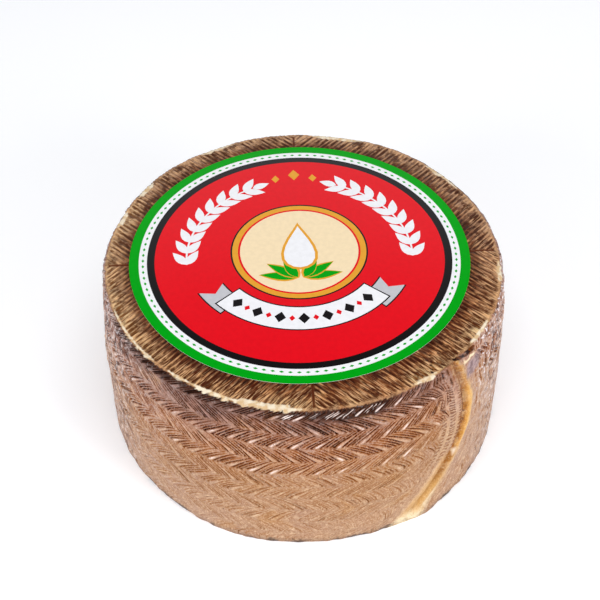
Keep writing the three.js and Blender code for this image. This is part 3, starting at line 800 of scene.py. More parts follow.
def add_wall(surface, edge_ring, edge_azimuths):
    """The rounded top edge, the wall, and the base."""
    columns = bundle_columns(*COLUMNS)
    turns = np.radians(EDGE_TURNS)
    drops = TOP_EDGE * (1 - np.cos(turns))
    cut_off = ROW_HEIGHT - TOP_ROW_HEIGHT
    edge_levels = [(0, (cut_off + drop) / ROW_HEIGHT, HEIGHT - drop) for drop in drops]
    full_radius, azimuths, edge_z, edge_masks = build_wall(edge_levels, columns)
    rings = []
    for level, turn in enumerate(turns):
        azimuth, out = azimuths[level], math.sin(turn)
        worn = smooth(worn_width(azimuth), 0.2, 1.2)
        radius = face_edge(azimuth) + (full_radius[level] - face_edge(azimuth)) * out
        ragged = noise(on_plan(radius, azimuth, edge_z[level]), 2.6, 33)
        radius = radius - 0.3 * worn * out + 0.16 * ragged
        points = on_plan(radius, azimuth, edge_z[level] - 0.15 * worn + 0.08 * ragged)
        masks = {name: value[level] for name, value in edge_masks.items()}
        masks["groove"] = masks["groove"] * smooth(turn, 0.7, 1.3)
        masks["crack"] = crack_at(points[..., :2])
        masks["worn"] = worn_on_wall(azimuth, points) - masks["crack"]
        rings.append(surface.add(points, face=1 - out, rim=1.0, lip=1.0, **masks))

    levels = wall_levels(range(FINE_ROWS), ROW_STEPS) + wall_levels([FINE_ROWS], [0.0])
    radius, azimuth, z, masks = build_wall(levels, columns)
    points = on_plan(radius, azimuth, z)
    wall = surface.add(points, worn=worn_on_wall(azimuth, points), **masks)
    surface.join(edge_ring, edge_azimuths, rings[0], growing(azimuths[0]))
    surface.join_grid(np.vstack([*rings, wall]))

    # Where the strokes are faint the mesh is coarser
    levels = wall_levels(range(FINE_ROWS, ROWS), FAINT_ROW_STEPS)[1:]
    radius, low_azimuths, z, masks = build_wall(levels, bundle_columns(*FAINT_COLUMNS))
    coarse = surface.add(on_plan(radius, low_azimuths, z), **masks)
    surface.join(wall[-1], growing(azimuth[-1]), coarse[0], growing(low_azimuths[0]))
    surface.join_grid(coarse)

    # The base, with a slightly uneven edge
    azimuth = low_azimuths[-1]
    wave = np.radians(azimuth) * BASE_WAVES
    uneven = BASE_UNEVEN * np.sin(wave) * np.cos(wave / 3 + 1)
    rings = [coarse[-1]]
    for height, inset in BASE_RINGS:
        z = BASE_EDGE_HEIGHT * height
        radius = wall_radius(azimuth, z) - BASE_EDGE_WIDTH * inset + uneven * inset
        rough = noise(on_plan(radius, azimuth, z), 3.4, 41)
        points = on_plan(radius + 0.4 * rough, azimuth, np.maximum(0, z + 0.3 * rough * height))
        side = np.clip(aside(azimuth, seam_azimuth(z)), -SEAM_SIDE, SEAM_SIDE)
        grey = along_round(azimuth, GREY_AND_SHEEN)
        rings.append(surface.add(points, strength=0.3, seam_side=side, grey=grey))
    surface.join_grid(np.vstack(rings))
    inner_azimuths = np.arange(BASE_POINTS) * 360 / BASE_POINTS + azimuth[0]
    inner_points = on_plan(BELLY_RADIUS - BASE_INSET, inner_azimuths, 0.0)
    inner = surface.add(inner_points, strength=0.3, seam_side=SEAM_SIDE)
    surface.join(rings[-1], growing(azimuth), inner, inner_azimuths)
    surface.cap(inner, (0, 0, 0), -1, strength=0.3, seam_side=SEAM_SIDE)


def linear(red, green, blue):
    """A colour in 0 to 255 as shown on a screen, as Blender's linear numbers."""
    channels = []
    for value in (red, green, blue):
        share = value / 255
        channels.append(share / 12.92 if share <= 0.04045 else ((share + 0.055) / 1.055) ** 2.4)
    return (*channels, 1.0)


class Value:
    """What a node of a material gives. Sums and products of it are nodes too."""

    def __init__(self, nodes, socket):
        self.nodes, self.socket = nodes, socket

    def __add__(self, other):
        return self.nodes.math("ADD", self, other)

    def __sub__(self, other):
        return self.nodes.math("SUBTRACT", self, other)

    def __mul__(self, other):
        return self.nodes.math("MULTIPLY", self, other)

    def __truediv__(self, other):
        return self.nodes.math("DIVIDE", self, other)


class Nodes:
    """Short calls for the nodes of one material. A colour is three numbers from 0 to 255, and
    sizes are in millimetres."""

    def __init__(self, name):
        self.material = bpy.data.materials.new(name)
        self.material.use_nodes = True
        self.tree = self.material.node_tree
        self.place = Value(self, self.tree.nodes.new("ShaderNodeTexCoord").outputs["Object"])

    def put(self, socket, value):
        if isinstance(value, Value):
            self.tree.links.new(value.socket, socket)
        else:
            socket.default_value = linear(*value) if isinstance(value, tuple) else value

    def node(self, kind, inputs):
        """A new node with its inputs filled, by their names."""
        node = self.tree.nodes.new("ShaderNode" + kind)
        for name, value in inputs.items():
            self.put(node.inputs[name], value)
        return node

    def shaded(self, inputs):
        """Fills the inputs of the material's shader and returns the material."""
        for name, value in inputs.items():
            self.put(self.tree.nodes["Principled BSDF"].inputs[name], value)
        return self.material

    def mask(self, name, output="Fac"):
        node = self.node("Attribute", {})
        node.attribute_name = name
        return Value(self, node.outputs[output])

    def noise(self, size, detail=3.0, roughness=0.55):
        """Noise from 0 to 1, with swells of the given size."""
        shape = {"Scale": 1 / (size * MM), "Detail": detail, "Roughness": roughness}
        return Value(self, self.node("TexNoise", {"Vector": self.place, **shape}).outputs["Fac"])

    def drawn_out(self, across, along, apart=3.0):
        """Noise from 0 to 1 drawn out along the strokes and grooves, with swells of these sizes."""
        scale = [1 / (size * MM) for size in (across, along, apart)]
        mapping = self.node("Mapping", {"Vector": self.mask("weave", "Vector"), "Scale": scale})
        place = Value(self, mapping.outputs["Vector"])
        node = self.node("TexNoise", {"Vector": place, "Scale": 1.0, "Detail": 2.0})
        return Value(self, node.outputs["Fac"])

    def ramp(self, value, low, high, low_out=0.0, high_out=1.0):
        """A smooth step of a value, from low_out at low to high_out at high."""
        ends = {"From Min": low, "From Max": high, "To Min": low_out, "To Max": high_out}
        node = self.node("MapRange", {"Value": value, **ends})
        node.interpolation_type = "SMOOTHSTEP"
        return Value(self, node.outputs["Result"])

    def plateau(self, value, rise, full, fall, end):
        """0 outside rise and end, 1 from full to fall, and smooth steps between."""
        return self.ramp(value, rise, full) * self.ramp(value, end, fall)

    def spots(self, size, low, high, low_out=0.0, high_out=1.0, detail=3.0, roughness=0.55):
        """Spots of a size, as a smooth step of noise."""
        return self.ramp(self.noise(size, detail, roughness), low, high, low_out, high_out)

    def wobble(self, size, reach, detail=3.0):
        """Noise about 0, from half a reach below it to half a reach above."""
        return (self.noise(size, detail) - 0.5) * reach

    def math(self, operation, *values):
        node = self.node("Math", {})
        node.operation = operation
        for socket, value in zip(node.inputs, values):
            self.put(socket, value)
        return Value(self, node.outputs["Value"])

    def mix(self, share, first, second):
        node = self.node("Mix", {})
        node.data_type = "RGBA"
        for i, value in ((0, share), (6, first), (7, second)):
            self.put(node.inputs[i], value)
        return Value(self, node.outputs[2])

    def painted(self, colour, *layers):
        """A colour with (share, colour) layers over it, each over those before."""
        for share, layer in layers:
            colour = self.mix(share, colour, layer)
        return colour

    def split(self, vector):
        node = self.node("SeparateXYZ", {"Vector": vector})
        return [Value(self, output) for output in node.outputs]

    def bands(self, value, stops):
        """A colour that changes with a value, through the colours at some of its values."""
        node = self.node("ValToRGB", {"Fac": value})
        ramp = node.color_ramp
        while len(ramp.elements) < len(stops):
            ramp.elements.new(0.5)
        for element, (place, colour) in zip(ramp.elements, stops.items()):
            element.position = place
            element.color = linear(*colour)
        return Value(self, node.outputs["Color"])

    def bump(self, height, distance, strength, normal=None):
        inputs = {"Height": height, "Distance": distance * MM, "Strength": strength}
        node = self.node("Bump", inputs if normal is None else {**inputs, "Normal": normal})
        return Value(self, node.outputs["Normal"])


def rib_distance(n):
    """How far each point lies from the nearer of the two lines that part the face's quarters."""
    x, y, _ = n.split(n.place)
    x, y = x - AXIS_X * MM, y - AXIS_Y * MM
    c, s = math.cos(math.radians(RIB_TURN)), math.sin(math.radians(RIB_TURN))
    return n.math("MINIMUM", n.math("ABSOLUTE", x * c + y * s), n.math("ABSOLUTE", y * c - x * s))


# The wall's colours, by its level: 0 at the foot and 1 at the top edge
GROUND = {
    0.1: (179, 142, 113), 0.55: (174, 132, 98), 0.72: (176, 129, 95), 0.86: (166, 120, 94),
    0.98: (122, 82, 66),
}
FLANK = {
    0.1: (164, 120, 84), 0.5: (158, 108, 66), 0.72: (150, 88, 40), 0.86: (126, 68, 32),
    0.98: (84, 44, 26),
}
DARK = {
    0.1: (140, 92, 56), 0.5: (128, 72, 28), 0.72: (96, 34, 0), 0.86: (68, 20, 0), 0.97: (32, 6, 0),
}
DEEP = {
    0.1: (122, 74, 34), 0.5: (116, 62, 24), 0.72: (80, 32, 8), 0.86: (38, 9, 0), 0.97: (14, 2, 0),
}
PALE = {0.1: (222, 192, 160), 0.5: (216, 182, 146), 0.8: (208, 168, 142), 0.97: (178, 134, 120)}
# The seam's colours across it, from its left: at its foot, below its middle and above
SEAM_FOOT = {
    0.05: (210, 172, 132), 0.2: (202, 160, 110), 0.32: (200, 156, 102), 0.42: (190, 142, 80),
    0.52: (198, 152, 90), 0.68: (208, 168, 110), 0.82: (206, 166, 108), 0.95: (212, 176, 132),
}
SEAM_LOW = {
    0.08: (218, 182, 142), 0.18: (204, 160, 112), 0.28: (182, 132, 78), 0.37: (158, 102, 44),
    0.46: (142, 86, 24), 0.55: (186, 134, 70), 0.68: (212, 168, 112), 0.9: (222, 188, 148),
}
SEAM_HIGH = {
    0.24: (170, 118, 70), 0.3: (138, 82, 34), 0.38: (118, 62, 16), 0.44: (166, 104, 34),
    0.51: (208, 148, 64), 0.59: (222, 174, 100), 0.72: (222, 186, 142), 0.84: (196, 162, 144),
}


def wall_colour(n, level, share, threads, grain, gloss_and_painted_glint):
    """The wall's colour, and the dashes beside its seam. The wall darkens towards the top edge,
    a little unevenly, and is darker in its grooves. Highlights are painted on its wedges, lands,
    nick and rungs, and shade along its foot."""
    groove, wedge, strength, grey = (n.mask(name) for name in ("groove", "wedge", "strength", "grey"))
    height = n.split(n.place)[2]
    dark, pale, flank = (n.bands(level, stops) for stops in (DARK, PALE, FLANK))
    golden = n.spots(12, 0.48, 0.66) * n.ramp(n.mask("tone"), 0.2, 0.9)
    faint = n.ramp(strength, 0.8, 0.4, 0.4, 1.0)
    ground = n.painted(
        n.bands(level, GROUND),
        (golden * 0.55, (184, 130, 66)),
        (n.spots(15, 0.5, 0.7, 0.0, 0.3, 4.0), (150, 116, 108)),
        # Greyer where the grey mask is high: partly the rind's own grey, partly a painted sheen on the
        # flanks
        (grey * 0.5, (180, 156, 152)),
        (wedge * 0.5, pale),
        (n.ramp(n.drawn_out(0.5, 5.0), 0.38, 0.56, 0.3, 0.0) * faint, dark),
        (n.ramp(threads, 0.34, 0.46, 0.45, 0.0) * faint, dark),
        (n.ramp(threads, 0.56, 0.72, 0.0, 0.6) * faint, pale),
        (n.ramp(strength, 0.45, 0.9) * n.ramp(wedge, 0.5, 0.1) * 0.12, flank),
        (n.ramp(level, 0.98, 1.05, 0.0, 0.9), (34, 16, 10)),
    )
    clear = n.ramp(level, 0.94, 1.02, 1.0, 0.1)
    blotches = n.noise(2.8)
    specks = n.spots(3.6, 0.51, 0.6, detail=4.0) * n.ramp(grey, 0.4, 1.2)
    light_specks = n.spots(2.7, 0.53, 0.63, detail=4.0) * n.ramp(grey, 0.2, 1.2)
    # Painted shade: dark grey-brown patches along the foot, a contact shadow where the wall meets the floor
    foot = n.ramp(height + n.wobble(4, 6 * MM), 2.6 * MM, 0.8 * MM)
    wall = n.painted(
        ground,
        (n.ramp(groove, 0.04, 0.26), flank),
        (n.ramp(groove, 0.2, 0.6), dark),
        (n.ramp(groove, 0.55, 0.98, 0.0, 0.9), n.bands(level, DEEP)),
        # Painted highlights, pale pink-white, where the glint mask marks wedges and lands
        (gloss_and_painted_glint * 0.74, (240, 216, 206)),
        (n.ramp(grain, 0.53, 0.66, 0.0, 0.6) * clear, pale),
        (n.ramp(grain, 0.47, 0.34, 0.0, 0.6), dark),
        (n.ramp(blotches, 0.55, 0.68, 0.0, 0.3) * clear, pale),
        (n.ramp(blotches, 0.44, 0.32, 0.0, 0.3), flank),
        (specks * n.ramp(share, 0.45, 0.7, 0.6, 0.95), (78, 50, 44)),
        (light_specks * 0.45, (230, 216, 210)),
        (n.spots(1.9, 0.56, 0.66) * n.mask("sparkle") * 0.85, (240, 232, 234)),
        # the painted contact shadow at the foot
        (foot * n.spots(9, 0.46, 0.58, 0.1, 0.9), (92, 74, 64)),
    )

    # Columns of short dashes with painted highlights between them, and rust, on the left of the seam
    side = n.mask("seam_side")
    beside = side + (n.wobble(2.6, 3.6) + n.wobble(1.0, 2.6, 2.0))
    upper = n.ramp(share, 0.33, 0.42)
    columns = n.math("COSINE", (side + 8.2) * (2 * math.pi / RIBBING_COLUMN))
    rung_height = height + side * (0.4 * MM) + n.wobble(6, 5 * MM)
    rungs = n.math("SINE", rung_height * (2 * math.pi / (RIBBING_PITCH * MM)))
    rungs = n.ramp(rungs, -0.4, 0.5) * n.ramp(columns, -0.7, 0.0)
    patchy = n.spots(7, 0.34, 0.5) * n.ramp(share, 0.25, 0.5, 0.2, 1.0) * n.ramp(share, 0.9, 0.84)
    zone = n.plateau(beside, -17, -13.5, -1.5, 0.0) * patchy
    dashes = rungs * zone
    rust = n.plateau(beside, -6.5, -3.0, -0.5, 0.5) * upper

    # The seam itself: a brown groove, then a golden ridge, creamy at its foot
    across = (beside + 8.0) / 20.0
    low = n.mix(n.ramp(share, 0.3, 0.17), n.bands(across, SEAM_LOW), n.bands(across, SEAM_FOOT))
    marks = n.plateau(beside, -3.2, -1.4, -0.2, 0.6) * n.spots(1.7, 0.5, 0.6, detail=2.0)
    marks = marks * n.ramp(share, 0.42, 0.5, 0.0, 0.9)
    high = n.mix(marks, n.bands(across, SEAM_HIGH), (84, 40, 12))
    low_extent = n.plateau(beside, -9.5, -4.0, 5, 13)
    narrowed = beside + n.ramp(share, 0.7, 0.86, 0.0, 2.0)
    high_extent = n.ramp(beside, -3.6, -1.4) * n.ramp(narrowed, 7.8, 3.6)
    cream_side = n.ramp(beside, 4.0, 7.0) * n.ramp(share, 0.2, 0.1)
    cream = n.math("MAXIMUM", n.ramp(share, 0.085, 0.03), cream_side)
    seam = n.painted(
        n.mix(upper, low, high),
        (n.ramp(share, 0.72, 0.86, 0.0, 0.4), (152, 104, 64)),
        (cream * n.spots(5, 0.36, 0.5, 0.3, 1.0), (238, 220, 184)),
        (n.ramp(grain, 0.53, 0.68, 0.0, 0.4), (238, 212, 168)),
        (n.ramp(grain, 0.47, 0.33, 0.0, 0.35), (134, 84, 36)),
        (n.spots(4.5, 0.5, 0.64, 0.0, 0.35), (226, 190, 140)),
    )
    mauve = n.mix(n.spots(2.2, 0.35, 0.65), (108, 80, 84), (160, 134, 136))
    wall = n.painted(
        wall,
        (rust * 0.6, (156, 104, 72)),
        # Painted highlights on the raised rungs between the dashes
        (n.math("SUBTRACT", 1.0, rungs) * zone * 0.4, pale),
        (dashes * 0.75, n.mix(0.2, dark, ground)),
        (n.mix(upper, low_extent, high_extent) * 0.9, seam),
        # Painted highlight: the nick is pale cream where it catches the light
        (n.mask("nick"), (226, 206, 184)),
        (n.mask("patch") * n.spots(3.2, 0.3, 0.5, 0.5, 0.92), mauve),
        (n.mask("strip"), (236, 214, 178)),
    )
    return wall, dashes


def top_colour(n, threads):
    """The top face's colour: gold to cream ridges, dark brown grooves, darker beside the label,
    and a painted sheen towards the back.
    """
    near, dusty, lip = n.mask("near_label"), n.mask("dusty"), n.mask("lip")
    creamy = n.mask("creamy") * n.spots(4, 0.36, 0.5, 0.5, 1.0)
    stained = n.spots(5.5, 0.52, 0.64, 0.0, 0.8, 4.0, 0.65)
    in_grooves = n.painted(
        n.mix(near, (54, 16, 0), (34, 10, 2)),
        # a painted sheen, greyer in the grooves towards the back
        (dusty * 0.2, (124, 88, 70)),
        (creamy * 0.8, (150, 96, 44)),
    )
    gaps = n.spots(4.2, 0.36, 0.54, 0.4, 1.0)
    fine_lines = n.drawn_out(0.5, 6.0)
    pale_lines = n.ramp(fine_lines, 0.54, 0.65, 0.0, 0.65) * n.ramp(dusty, 0.4, 0.75, 1.0, 0.3)
    dark_lines = n.ramp(fine_lines, 0.51, 0.4, 0.0, 0.85) * n.ramp(dusty, 0.0, 0.4, 1.0, 0.25)
    rib = n.ramp(rib_distance(n) + n.wobble(4, 0.6 * MM), 0.75 * MM, 0.35 * MM)
    return n.painted(
        n.mix(n.spots(9, 0.38, 0.62), (188, 126, 78), (130, 74, 38)),
        (n.mask("rim") * n.spots(7, 0.42, 0.6, 0.0, 0.3), (222, 180, 130)),
        # a painted sheen, paler towards the back
        (dusty * 0.75, (206, 170, 138)),
        (n.ramp(near, 0.1, 1.0, 0.0, 0.85), (112, 60, 32)),
        (creamy * 0.9, (238, 208, 156)),
        (n.ramp(threads, 0.52, 0.68, 0.0, 0.5), (220, 168, 114)),
        (n.ramp(threads, 0.5, 0.34, 0.0, 0.6), (78, 32, 10)),
        (stained * n.math("SUBTRACT", 1.0, lip * 0.5), (74, 32, 12)),
        (n.spots(11, 0.53, 0.63, 0.0, 0.6, 4.0, 0.6), (56, 24, 14)),
        (n.ramp(n.mask("groove"), 0.15, 0.65, 0.0, 0.95) * gaps, in_grooves),
        (n.spots(2.4, 0.46, 0.32, 0.0, 0.4), (74, 32, 10)),
        (pale_lines * n.ramp(near, 0.1, 0.9, 1.0, 0.15), (228, 180, 134)),
        (dark_lines, (66, 20, 2)),
        (rib * n.ramp(lip, 0.6, 0.0) * 0.9, (86, 32, 6)),
        (lip * n.spots(3.5, 0.4, 0.6, 0.0, 0.35), (200, 158, 116)),
    )


def rind_material():
    """The rind: tan to mauve brown, pale where it is worn, with an uneven oily shine and painted
    highlights.
    """
    n = Nodes("rind")
    face, patch = n.mask("face"), n.mask("patch")
    threads, grain = n.drawn_out(0.9, 4.0), n.noise(0.9, 4.0, 0.7)
    level = n.mask("age") + n.wobble(18, 0.22, 4.0)
    share = n.split(n.place)[2] / (HEIGHT * MM)
    broken = n.math("MAXIMUM", n.spots(5, 0.36, 0.54), n.ramp(level, 0.96, 1.0))
    gloss_and_painted_glint = n.ramp(n.mask("glint"), 0.15, 0.7) * broken
    wall, dashes = wall_colour(n, level, share, threads, grain, gloss_and_painted_glint)
    ivory = n.mix(n.spots(3.5, 0.42, 0.62), (228, 214, 190), (206, 174, 132))
    cracked = n.mix(n.spots(1.6, 0.42, 0.58), (96, 48, 16), (36, 12, 4))
    colour = n.painted(
        wall,
        (n.ramp(face, 0.3, 0.7), top_colour(n, threads)),
        (n.ramp(n.mask("worn"), 0.25, 0.75), ivory),
        (n.ramp(n.mask("crack"), 0.2, 0.6), cracked),
    )

    oily = n.ramp(n.mask("groove"), 0.25, 0.02) * n.spots(6, 0.42, 0.58)
    oily = oily * n.ramp(share, 0.3, 0.7, 0.15, 0.4) * n.ramp(level, 0.98, 1.02, 1.0, 0.15)
    oily = n.math("MAXIMUM", oily, n.math("MAXIMUM", gloss_and_painted_glint, patch * 0.3))
    waxed = n.spots(4, 0.4, 0.6, 0.2, 1.0) * n.ramp(n.mask("dusty"), 0.0, 0.8, 0.1, 0.4)
    smoother = n.math("MAXIMUM", n.mask("wedge"), patch) * 0.85
    rough = n.math("SUBTRACT", 1.0, smoother) * n.ramp(face, 0.3, 0.7, 1.0, 0.35)
    relief = n.bump(threads * rough, 0.35, 0.7, n.bump(grain * rough, 0.3, 0.6))
    return n.shaded({
        "Base Color": colour,
        "Roughness": n.spots(3.5, 0.35, 0.65, 0.4, 0.65, 4.0, 0.6),
        "Specular IOR Level": 0.06,
        "Coat Weight": n.mix(n.ramp(face, 0.4, 0.8), oily, waxed),
        "Coat Roughness": 0.2,
        "Coat IOR": 1.7,
        "Normal": n.bump(dashes, 0.5, 0.8, relief),
    })


# The label's inks: colour and shine
INKS = {
    "green": ((0, 154, 20), 0.15),
    "white": ((234, 234, 238), 0.42),
    "black": ((14, 10, 13), 0.6),
    "red": ((220, 10, 26), 0.42),
    "cream": ((238, 216, 178), 0.42),
    "gold": ((222, 156, 46), 0.42),
    "grey": ((190, 190, 196), 0.42),
}


def print_material(name, colour, shine):
    """Printed coated paper: an even colour with a faint mottle and a satin shine."""
    n = Nodes("print_" + name)
    darker = [0.94 * channel for channel in linear(*colour)[:3]] + [1.0]
    return n.shaded({
        "Base Color": n.mix(n.spots(2.5, 0.3, 0.7), colour, darker),
        "Roughness": 0.16,
        "Specular IOR Level": shine,
    })


def around(radius, angle):
    """A point on a circle round the label's centre, anticlockwise from its right."""
    return np.array([math.cos(math.radians(angle)), math.sin(math.radians(angle))]) * radius


def circle(radius, centre=(0, 0), points=240):
    angle = np.arange(points) * 2 * np.pi / points
    return np.column_stack([np.cos(angle), np.sin(angle)]) * radius + centre


def placed(outline, middle, turn):
    """An outline turned by degrees and moved to its middle."""
    c, s = math.cos(math.radians(turn)), math.sin(math.radians(turn))
    return outline @ np.array([[c, s], [-s, c]]) + middle


def leaf(length, width, points=7):
    """A pointed leaf from the origin along x."""
    along = np.linspace(0, 1, points)
    upper = np.column_stack([along * length, width / 2 * np.sin(np.pi * along**0.8)])
    return np.vstack([upper, upper[-2:0:-1] * (1, -1)])


def diamond(width, height):
    return np.array([(-width / 2, 0), (0, -height / 2), (width / 2, 0), (0, height / 2)])


def band(inner, outer, start, stop, centre=(0, 0)):
    """Part of a ring between two angles."""
    angles = np.linspace(start, stop, 40)
    out = [around(outer, angle) for angle in angles]
    back = [around(inner, angle) for angle in angles[::-1]]
    return np.array(out + back) + centre


def drop(height, width, points=20):
    """A drop with its tip up, standing on the origin."""
    angle = np.linspace(0, 2 * np.pi, points, endpoint=False)
    x = width / 2 * np.sin(angle) * np.sin(angle / 2) ** 1.4
    return np.column_stack([x, height / 2 * (1 + np.cos(angle))])


def label_shapes():
    """(ink, outline) of each printed field, the later ones over the earlier ones. The rings lie
    round a plain medallion with a drop, two sprigs and a blank ribbon with a row of diamonds."""
    rings = (LABEL_RADIUS, GREEN_INNER, WHITE_INNER, BLACK_INNER)
    shapes = [(ink, circle(radius)) for ink, radius in zip(("green", "white", "black", "red"), rings)]
    for angle in np.arange(BORDER_DIAMONDS) * 360 / BORDER_DIAMONDS:
        place = around((GREEN_INNER + WHITE_INNER) / 2, angle)
        shapes.append(("green", placed(diamond(*BORDER_DIAMOND), place, angle)))

    # Two sprigs of leaves, with three diamonds between their tips
    for side in (-1, 1):
        ends = sorted(90 + side * end for end in SPRIG_ENDS)
        stem = band(SPRIG_RADIUS - STEM_HALF_WIDTH, SPRIG_RADIUS + STEM_HALF_WIDTH, *ends)
        shapes.append(("white", stem))
        leaves = []
        for i in range(SPRIG_LEAVES):
            angle = 90 + side * (SPRIG_ENDS[1] - i * LEAF_PITCH)
            leaves.extend((SPRIG_LEAF, angle, lean) for lean in (-SPRIG_LEAN, SPRIG_LEAN))
        for size, angle, lean in [*leaves, (TIP_LEAF, 90 + side * TIP_AT, 0)]:
            foot = around(SPRIG_RADIUS, angle)
            shapes.append(("white", placed(leaf(*size), foot, angle - side * 90 + lean)))
    for turn, height, radius in TOP_DIAMONDS:
        place = around(radius, 90 - turn)
        shapes.append(("gold", placed(diamond(height * 0.72, height), place, 0)))

    # The medallion, with a drop over leaves
    middle = np.array([0, MEDALLION_UP])
    for ink, radius in MEDALLION:
        shapes.append((ink, circle(radius, middle, points=90)))
    for side, (lean, length) in itertools.product((-1, 1), MEDALLION_LEAVES):
        foot = middle + np.array(MEDALLION_FOOT) * (side, 1)
        turn = 90 - side * (90 - lean)
        shapes.append(("gold", placed(leaf(length + 1.4, 6.4), foot, turn)))
        shapes.append(("green", placed(leaf(length, 4.8), foot + (side * 0.7, 0.3), turn)))
    for ink, height, width, foot in DROPS:
        shapes.append((ink, drop(height, width) + middle + (0, foot)))

    # The ribbon below it, each end cut in by a wedge of the ground's red
    for side in (-1, 1):
        for ink, inner, outer, *ends in RIBBON_ENDS:
            ends = sorted(270 + side * end for end in ends)
            shapes.append((ink, band(inner, outer, *ends, middle)))
        cut = [around(radius, 270 + side * angle) for radius, angle in RIBBON_CUT]
        shapes.append(("red", np.array(cut) + middle))
    for ink, inner, outer, reach in RIBBON:
        shapes.append((ink, band(inner, outer, 270 - reach, 270 + reach, middle)))
    for i in range(-RIBBON_MARKS, RIBBON_MARKS + 1):
        ink, size = ("red", 3.6) if i % 2 else ("black", 6.8)
        angle = 270 + i * MARK_PITCH
        mark = placed(diamond(size, size * 0.8), around(RIBBON_MIDDLE, angle), angle)
        shapes.append((ink, mark + middle))
    return shapes


def inside(outline, points):
    """Whether each point lies inside a closed outline."""
    found = np.zeros(len(points), bool)
    x, y = points[:, 0], points[:, 1]
    for (x1, y1), (x2, y2) in zip(outline, np.roll(outline, -1, axis=0)):
        if y1 != y2:
            crosses = (y1 > y) != (y2 > y)
            found ^= crosses & (x < (x2 - x1) * (y - y1) / (y2 - y1) + x1)
    return found


def boundary(faces):
    """The directed edges that only one face has."""
    edges = {(int(a), int(b)) for face in faces for a, b in zip(face, np.roll(face, -1))}
    return [(a, b) for a, b in edges if (b, a) not in edges]


def build_label():
    """The paper disc. Each printed field is a set of its faces, so its edge stays sharp."""
    shapes = label_shapes()
    points, edges = [], []
    for _, outline in shapes:
        first, count = len(points), len(outline)
        points.extend(map(tuple, outline))
        edges.extend((first + i, first + (i + 1) % count) for i in range(count))
    for row, y in enumerate(np.arange(-LABEL_RADIUS, LABEL_RADIUS, PAPER_STEP * 0.866)):
        for x in np.arange(-LABEL_RADIUS, LABEL_RADIUS, PAPER_STEP) + (row % 2) * PAPER_STEP / 2:
            if math.hypot(x, y) < LABEL_RADIUS - 1:
                points.append((x, y))
    flat, _, faces, *_ = delaunay_2d_cdt([Vector(point) for point in points], edges, [], 0, 1e-5)
    flat, faces = np.array([tuple(point) for point in flat]), np.array(faces)
    middles = flat[faces].mean(axis=1)
    keep = np.linalg.norm(middles, axis=1) < LABEL_RADIUS
    faces, middles = faces[keep], middles[keep]
    inks = list(INKS)
    slots = np.zeros(len(faces), int)
    for ink, outline in shapes:
        slots[inside(outline, middles)] = inks.index(ink)

    place = np.column_stack([placed(flat, (LABEL_X, LABEL_Y), LABEL_TURN), np.zeros(len(flat))])
    out = np.linalg.norm(flat, axis=1) / LABEL_RADIUS
    wave = PAPER_WAVE * noise(place, 46, 51, 1) * (1 - smooth(out, 0.7, 0.9))
    top = place + np.array([0, 0, 1]) * (HEIGHT + LABEL_GAP + PAPER + PAPER_LIFT + wave)[:, None]
    vertices = (np.vstack([top, top - (0, 0, PAPER)]) + (AXIS_X, AXIS_Y, 0)) * MM
    count = len(flat)
    backs = (faces[:, ::-1] + count).tolist()
    walls = [(a, a + count, b + count, b) for a, b in boundary(faces)]
    slots = slots.tolist() + [inks.index("white")] * (len(backs) + len(walls))
    materials = [print_material(name, *ink) for name, ink in INKS.items()]
    made = new_object("label_print", vertices.tolist(), faces.tolist() + backs + walls, materials)
    made.data.polygons.foreach_set("material_index", slots)
    made.data.update()
    return made


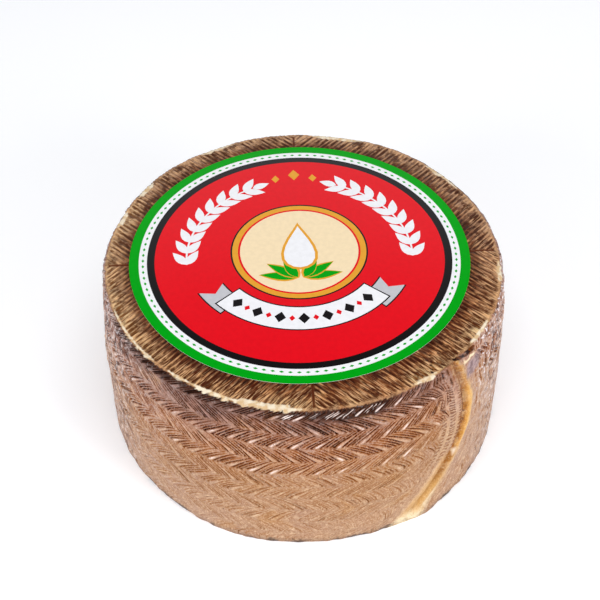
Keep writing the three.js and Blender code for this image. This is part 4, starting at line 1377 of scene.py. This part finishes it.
def add_camera():
    data = bpy.data.cameras.new("camera")
    data.lens = LENS
    data.sensor_width = SENSOR
    data.clip_start, data.clip_end = 0.01, 20
    pitch, roll = math.radians(CAMERA_PITCH), math.radians(CAMERA_ROLL)
    back = Vector((0, -math.cos(pitch), math.sin(pitch)))
    level_right = Vector((1, 0, 0))
    right = math.cos(roll) * level_right + math.sin(roll) * back.cross(level_right)
    up = back.cross(right)
    axis = Vector((AXIS_X, AXIS_Y, 0))
    place = axis + back * CAMERA_DISTANCE - right * CAMERA_RIGHT - up * CAMERA_UP
    camera = in_scene("camera", data)
    turned = Matrix((right, up, back)).transposed().to_4x4()
    camera.matrix_world = Matrix.Translation(place * MM) @ turned
    bpy.context.scene.camera = camera


def add_light(name, place, size, power):
    data = bpy.data.lights.new(name, "AREA")
    data.shape = "RECTANGLE"
    data.size, data.size_y = size
    data.energy = power
    light = in_scene(name, data)
    light.location = place
    light.rotation_euler = (Vector(place) - Vector(LAMP_AIM)).to_track_quat("Z", "Y").to_euler()


def add_surround():
    """White screens all round up to a height, and a darker ceiling above them."""
    world = bpy.data.worlds.new("studio")
    bpy.context.scene.world = world
    world.use_nodes = True
    tree = world.node_tree
    direction = tree.nodes.new("ShaderNodeTexCoord")
    split = tree.nodes.new("ShaderNodeSeparateXYZ")
    tree.links.new(direction.outputs["Generated"], split.inputs["Vector"])
    fade = tree.nodes.new("ShaderNodeMapRange")
    fade.interpolation_type = "SMOOTHSTEP"
    tree.links.new(split.outputs["Z"], fade.inputs["Value"])
    for name, value in (("From Min", 0.595), ("From Max", 0.74), ("To Min", 0.8), ("To Max", 0.02)):
        fade.inputs[name].default_value = value
    background = tree.nodes["Background"]
    background.inputs["Color"].default_value = (0.96, 0.98, 1.0, 1.0)
    tree.links.new(fade.outputs["Result"], background.inputs["Strength"])


def add_studio():
    """A pale floor, an even white surround and large soft lamps."""
    colours = {"Base Color": (250, 250, 252), "Emission Color": (240, 246, 255)}
    material = Nodes("floor").shaded({**colours, "Roughness": 0.9, "Emission Strength": 0.1})
    corners = [(x * FLOOR_REACH, y * FLOOR_REACH, 0) for x, y in ((-1, -1), (1, -1), (1, 1), (-1, 1))]
    floor = new_object("floor", corners, [(0, 1, 2, 3)], [material])

    add_surround()
    for name, lamp in LAMPS.items():
        add_light(name, *lamp)
    bpy.context.scene.view_settings.view_transform = "Standard"


def main():
    add_camera()
    surface = RingMesh()
    edge_ring, edge_azimuths = add_face(surface)
    add_wall(surface, edge_ring, edge_azimuths)
    cheese = surface.make("cheese_rind", rind_material())
    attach(cheese, "root")
    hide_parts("cheese")
    label = build_label()
    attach(label, "root")
    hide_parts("label")
    add_studio()


main()
